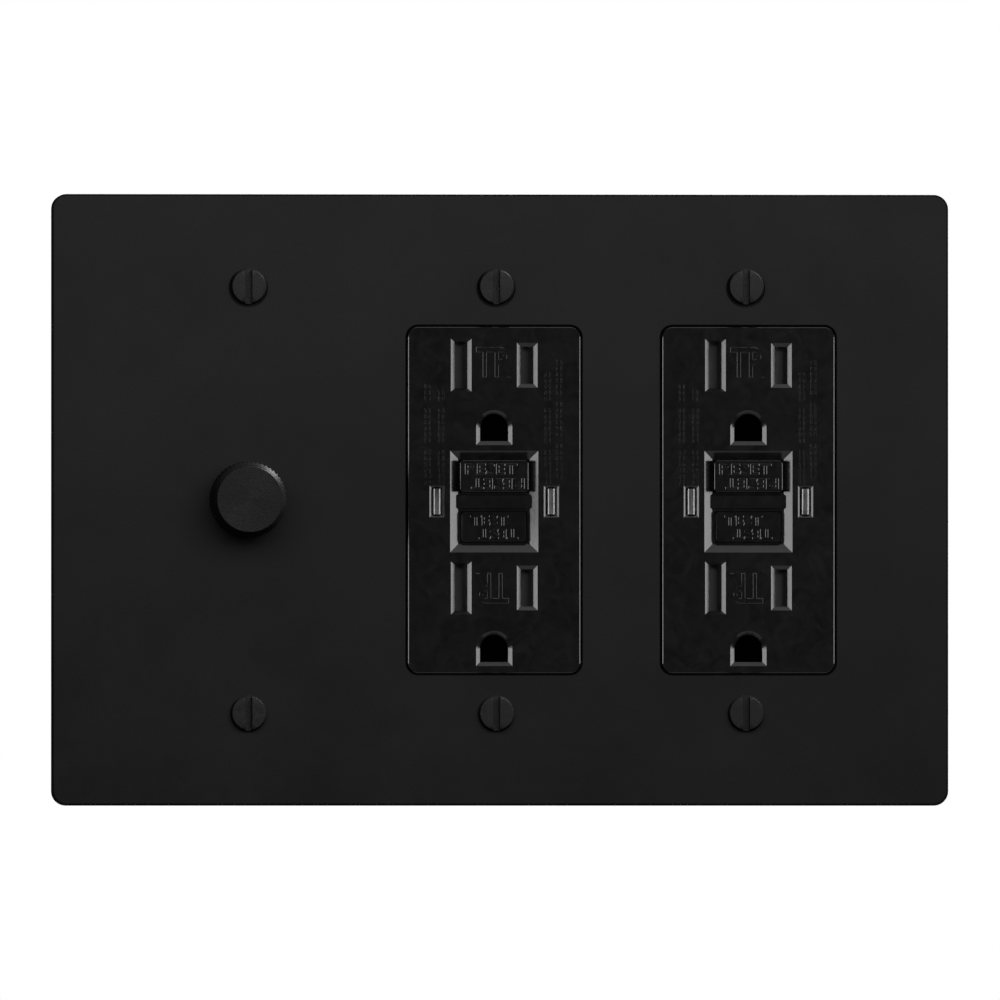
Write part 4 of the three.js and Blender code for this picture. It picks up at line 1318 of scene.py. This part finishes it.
class OutletSettings(bpy.types.PropertyGroup):
    face_width: length("Face width", "Width of the outlet's front", 33.1)
    face_height: length("Face height", "Height of the outlet's front", 66.5)
    corner: length("Corner", "Corner radius of the front", 2.0)
    edge: length("Edge", "Width of the sloped front edge", 0.13)
    wall: length("Wall", "Thickness of the front wall", 2.5)
    flange_front: length("Flange", "Where the rear flange's front lies behind the wall line", 0.3)
    cavity_width: length("Cavity width", "Width of the hollow behind the front wall", 29.0)
    cavity_height: length("Cavity height", "Height of the hollow behind the front wall", 64.0)
    blade_offset: length("Blade offset", "Distance of each blade slot from the middle", 6.35)
    upper_blades: length("Upper blades", "Height of the upper blade slots", 25.9)
    lower_blades: length("Lower blades", "Height of the lower blade slots", -16.9)
    slot_width: length("Slot width", "Width of a blade slot", 2.4)
    slot_mouth: length("Slot mouth", "Width of a blade slot's sloped mouth", 3.95)
    slot_slope: length("Slot slope", "Depth of a blade slot's sloped mouth", 0.65)
    long_slot: length("Long slot", "Height of a neutral slot", 8.9)
    long_mouth: length("Long mouth", "Height of a neutral slot's mouth", 10.1)
    short_slot: length("Short slot", "Height of a hot slot", 7.1)
    short_mouth: length("Short mouth", "Height of a hot slot's mouth", 8.6)
    upper_ground: length("Upper ground", "Height of the upper ground hole's arc centre", 13.83)
    lower_ground: length("Lower ground", "Height of the lower ground hole's arc centre", -28.63)
    ground_radius: length("Ground radius", "Radius of the ground holes", 2.7)
    ground_drop: length("Ground drop", "From the arc centre to a ground hole's flat bottom", 2.5)
    ground_slope: length("Ground slope", "Width of a ground hole's sloped mouth", 0.78)
    window_slope: length("Window slope", "Width of a window's sloped mouth", 0.4)
    steepness: FloatProperty(name="Steepness", description="Depth of a sloped mouth over its width",
                             default=0.81, min=0.1)
    well_width: length("Well width", "Width of the well round the buttons", 17.0)
    well_height: length("Well height", "Height of the well round the buttons", 19.6)
    well_slope: length("Well slope", "Width of the well's sloped sides", 1.6)
    well_depth: length("Well depth", "Depth of the well", 1.3)
    well_centre: length("Well centre", "Height of the well's middle", -0.3)
    bar_height: length("Bar height", "Height of the bar between the buttons", 3.3)
    bar_depth: length("Bar depth", "Depth of the bar's front below the face", 0.95)
    bar_slope: length("Bar slope", "Width and depth of the bar's sloped edges", 0.5)
    bar_centre: length("Bar centre", "Height of the bar's middle", -0.3)
    button_gap: length("Button gap", "Gap round a button", 0.2)
    button_edge: length("Button edge", "Width of a button's sloped front edge", 0.08)
    button_lip: length("Button lip", "How far a flange reaches past a button or lens", 0.5)
    button_flange: length("Button flange", "Where the flanges' front lies", -2.6)
    window_offset: length("Window offset", "Distance of each window from the middle", 11.0)
    window_centre: length("Window centre", "Height of the windows' middle", -0.3)
    window_width: length("Window width", "Width of a window", 2.1)
    window_height: length("Window height", "Height of a window", 5.3)
    lens_drop: length("Lens drop", "Depth of a lens's front below the face", 0.08)
    mark_slope: length("Mark slope", "Width of the large letters' sloped sides", 0.14)
    mark_thicker: length("Mark thicker", "How much is put on each side of the large letters", 0.04)
    word_slope: length("Word slope", "Width of the sloped sides of the words on the buttons", 0.065)
    word_thicker: length("Word thicker", "How much is put on each side of the words' strokes", 0.02)
    mark_steepness: FloatProperty(name="Mark steepness", description="Height of the letters over their slope",
                                  default=0.88, min=0.1)
    dash_height: length("Dash height", "How far the fine dashes stand out", 0.013)
    plastic: tint("Plastic", "Colour of the outlet fronts", 0.0098, 0.0098, 0.01)
    button_plastic: tint("Button plastic", "Colour of the buttons", 0.0088, 0.0088, 0.009)
    shutter_plastic: tint("Shutter plastic", "Colour of the tamper shutters", 0.085, 0.085, 0.085)
    lens: tint("Lens", "Colour of the indicator lenses", 0.14, 0.14, 0.143)
    brass: tint("Brass", "Colour of the blade contacts", 0.66, 0.46, 0.17)
    # The ground contact's colour is darkened as painted shade for the deep ground holes.
    ground_contact: tint("Ground contact", "Colour of the darkened ground contact", 0.11, 0.1, 0.08)
    board: tint("Board", "Colour of the circuit boards", 0.015, 0.12, 0.04)


class StageSettings(bpy.types.PropertyGroup):
    surround: brightness("Surround", "Light from all round", 0.03)
    main: brightness("Main", "Light at the upper right, high over the plate", 0.52)
    top: brightness("Top", "Wide light above, high over the plate", 1.4)
    front: brightness("Front", "Light at the upper right, high over the outlets", 4.5)
    side: brightness("Sides", "Low lights at both sides of the outlets", 6.0)
    over: brightness("Over", "Low light above the outlets", 1.0)
    under: brightness("Under", "Low light below the outlets", 0.5)
    rim: brightness("Rim", "Low light at the upper right of the knob and plate screws", 26.0)
    back: brightness("Back", "Light behind the plate", 6.0)
    distance: FloatProperty(name="Distance", description="Camera to plate", default=6.0, unit="LENGTH")
    field: FloatProperty(name="Field", description="Width seen at the plate", default=0.1922, precision=5,
                         unit="LENGTH")
    aim_x: FloatProperty(name="Aim across", description="Where the camera aims", default=-0.00009,
                         precision=6, unit="LENGTH")
    aim_z: FloatProperty(name="Aim up", description="Where the camera aims", default=0.0, unit="LENGTH")
    view_turn: FloatProperty(name="Turn", description="Camera turned about the plate",
                             default=math.radians(-2.9), subtype="ANGLE", unit="ROTATION")
    view_tilt: FloatProperty(name="Tilt", description="Camera raised over the plate",
                             default=math.radians(-0.6), subtype="ANGLE", unit="ROTATION")


SETTINGS = {
    "wall_plate": PlateSettings,
    "wall_plate_screws": ScrewSettings,
    "wall_plate_knob": KnobSettings,
    "wall_plate_devices": DeviceSettings,
    "wall_plate_outlets": OutletSettings,
    "wall_plate_stage": StageSettings,
}


# ---------------------------------------------------------------- operators and panel

class WALLPLATE_OT_plate(bpy.types.Operator):
    """Builds the coated plate"""
    bl_idname = "wallplate.plate"
    bl_label = "Plate"

    def execute(self, context):
        build_plate(context.scene.wall_plate)
        return {"FINISHED"}


class WALLPLATE_OT_plate_screws(bpy.types.Operator):
    """Builds the six slotted plate screws"""
    bl_idname = "wallplate.plate_screws"
    bl_label = "Plate screws"

    def execute(self, context):
        build_plate_screws(context.scene.wall_plate_screws)
        return {"FINISHED"}


class WALLPLATE_OT_straps(bpy.types.Operator):
    """Builds the three device straps"""
    bl_idname = "wallplate.straps"
    bl_label = "Straps"

    def execute(self, context):
        build_straps(context.scene.wall_plate_devices)
        return {"FINISHED"}


class WALLPLATE_OT_housings(bpy.types.Operator):
    """Builds the three rear housings"""
    bl_idname = "wallplate.housings"
    bl_label = "Housings"

    def execute(self, context):
        build_housings(context.scene.wall_plate_devices)
        return {"FINISHED"}


class WALLPLATE_OT_terminal_screws(bpy.types.Operator):
    """Builds the side and ground terminal screws"""
    bl_idname = "wallplate.terminal_screws"
    bl_label = "Terminal screws"

    def execute(self, context):
        build_terminal_screws(context.scene.wall_plate_screws)
        return {"FINISHED"}


class WALLPLATE_OT_knob(bpy.types.Operator):
    """Builds the dimmer's toothed knob"""
    bl_idname = "wallplate.knob"
    bl_label = "Knob"

    def execute(self, context):
        build_knob(context.scene.wall_plate_knob)
        return {"FINISHED"}


class WALLPLATE_OT_dimmer_works(bpy.types.Operator):
    """Finishes the dimmer's inner pieces"""
    bl_idname = "wallplate.dimmer_works"
    bl_label = "Dimmer works"

    def execute(self, context):
        build_dimmer_works(context.scene.wall_plate_devices)
        return {"FINISHED"}


class WALLPLATE_OT_springs(bpy.types.Operator):
    """Builds the button and plunger springs"""
    bl_idname = "wallplate.springs"
    bl_label = "Springs"

    def execute(self, context):
        build_springs(context.scene.wall_plate_devices)
        return {"FINISHED"}


class WALLPLATE_OT_outlet_faces(bpy.types.Operator):
    """Builds both outlet fronts"""
    bl_idname = "wallplate.outlet_faces"
    bl_label = "Outlet faces"

    def execute(self, context):
        build_outlet_faces(context.scene.wall_plate_outlets)
        return {"FINISHED"}


class WALLPLATE_OT_buttons(bpy.types.Operator):
    """Builds the reset and test buttons"""
    bl_idname = "wallplate.buttons"
    bl_label = "Buttons"

    def execute(self, context):
        build_buttons(context.scene.wall_plate_outlets)
        return {"FINISHED"}


class WALLPLATE_OT_shutters(bpy.types.Operator):
    """Builds the four tamper shutters"""
    bl_idname = "wallplate.shutters"
    bl_label = "Shutters"

    def execute(self, context):
        build_shutters(context.scene.wall_plate_outlets)
        return {"FINISHED"}


class WALLPLATE_OT_lenses(bpy.types.Operator):
    """Builds the four indicator lenses"""
    bl_idname = "wallplate.lenses"
    bl_label = "Lenses"

    def execute(self, context):
        build_lenses(context.scene.wall_plate_outlets)
        return {"FINISHED"}


class WALLPLATE_OT_contacts(bpy.types.Operator):
    """Finishes the contacts and boards inside the outlets"""
    bl_idname = "wallplate.contacts"
    bl_label = "Contacts"

    def execute(self, context):
        build_contacts(context.scene.wall_plate_outlets)
        return {"FINISHED"}


class WALLPLATE_OT_stage(bpy.types.Operator):
    """Sets up the surround, lights and camera"""
    bl_idname = "wallplate.stage"
    bl_label = "Stage"

    def execute(self, context):
        build_stage(context.scene.wall_plate_stage)
        return {"FINISHED"}


OPERATORS = (
    WALLPLATE_OT_plate, WALLPLATE_OT_plate_screws, WALLPLATE_OT_straps, WALLPLATE_OT_housings,
    WALLPLATE_OT_terminal_screws, WALLPLATE_OT_knob, WALLPLATE_OT_dimmer_works, WALLPLATE_OT_springs,
    WALLPLATE_OT_outlet_faces, WALLPLATE_OT_buttons, WALLPLATE_OT_shutters, WALLPLATE_OT_lenses,
    WALLPLATE_OT_contacts, WALLPLATE_OT_stage,
)


class WALLPLATE_PT_panel(bpy.types.Panel):
    """Lists the pieces in the order in which they are built"""
    bl_idname = "WALLPLATE_PT_panel"
    bl_label = "Wall plate"
    bl_space_type = "VIEW_3D"
    bl_region_type = "UI"
    bl_category = "Wall plate"

    def draw(self, context):
        for operator in OPERATORS:
            self.layout.operator(operator.bl_idname)


def register():
    for group in SETTINGS.values():
        bpy.utils.register_class(group)
    for name, group in SETTINGS.items():
        setattr(bpy.types.Scene, name, PointerProperty(type=group))
    for made in (*OPERATORS, WALLPLATE_PT_panel):
        bpy.utils.register_class(made)


def unregister():
    for made in (WALLPLATE_PT_panel, *reversed(OPERATORS)):
        bpy.utils.unregister_class(made)
    for name, group in SETTINGS.items():
        delattr(bpy.types.Scene, name)
        bpy.utils.unregister_class(group)


def main():
    register()
    for operator in OPERATORS:
        family, name = operator.bl_idname.split(".")
        getattr(getattr(bpy.ops, family), name)()
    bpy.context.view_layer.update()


if __name__ == "__main__":
    main()
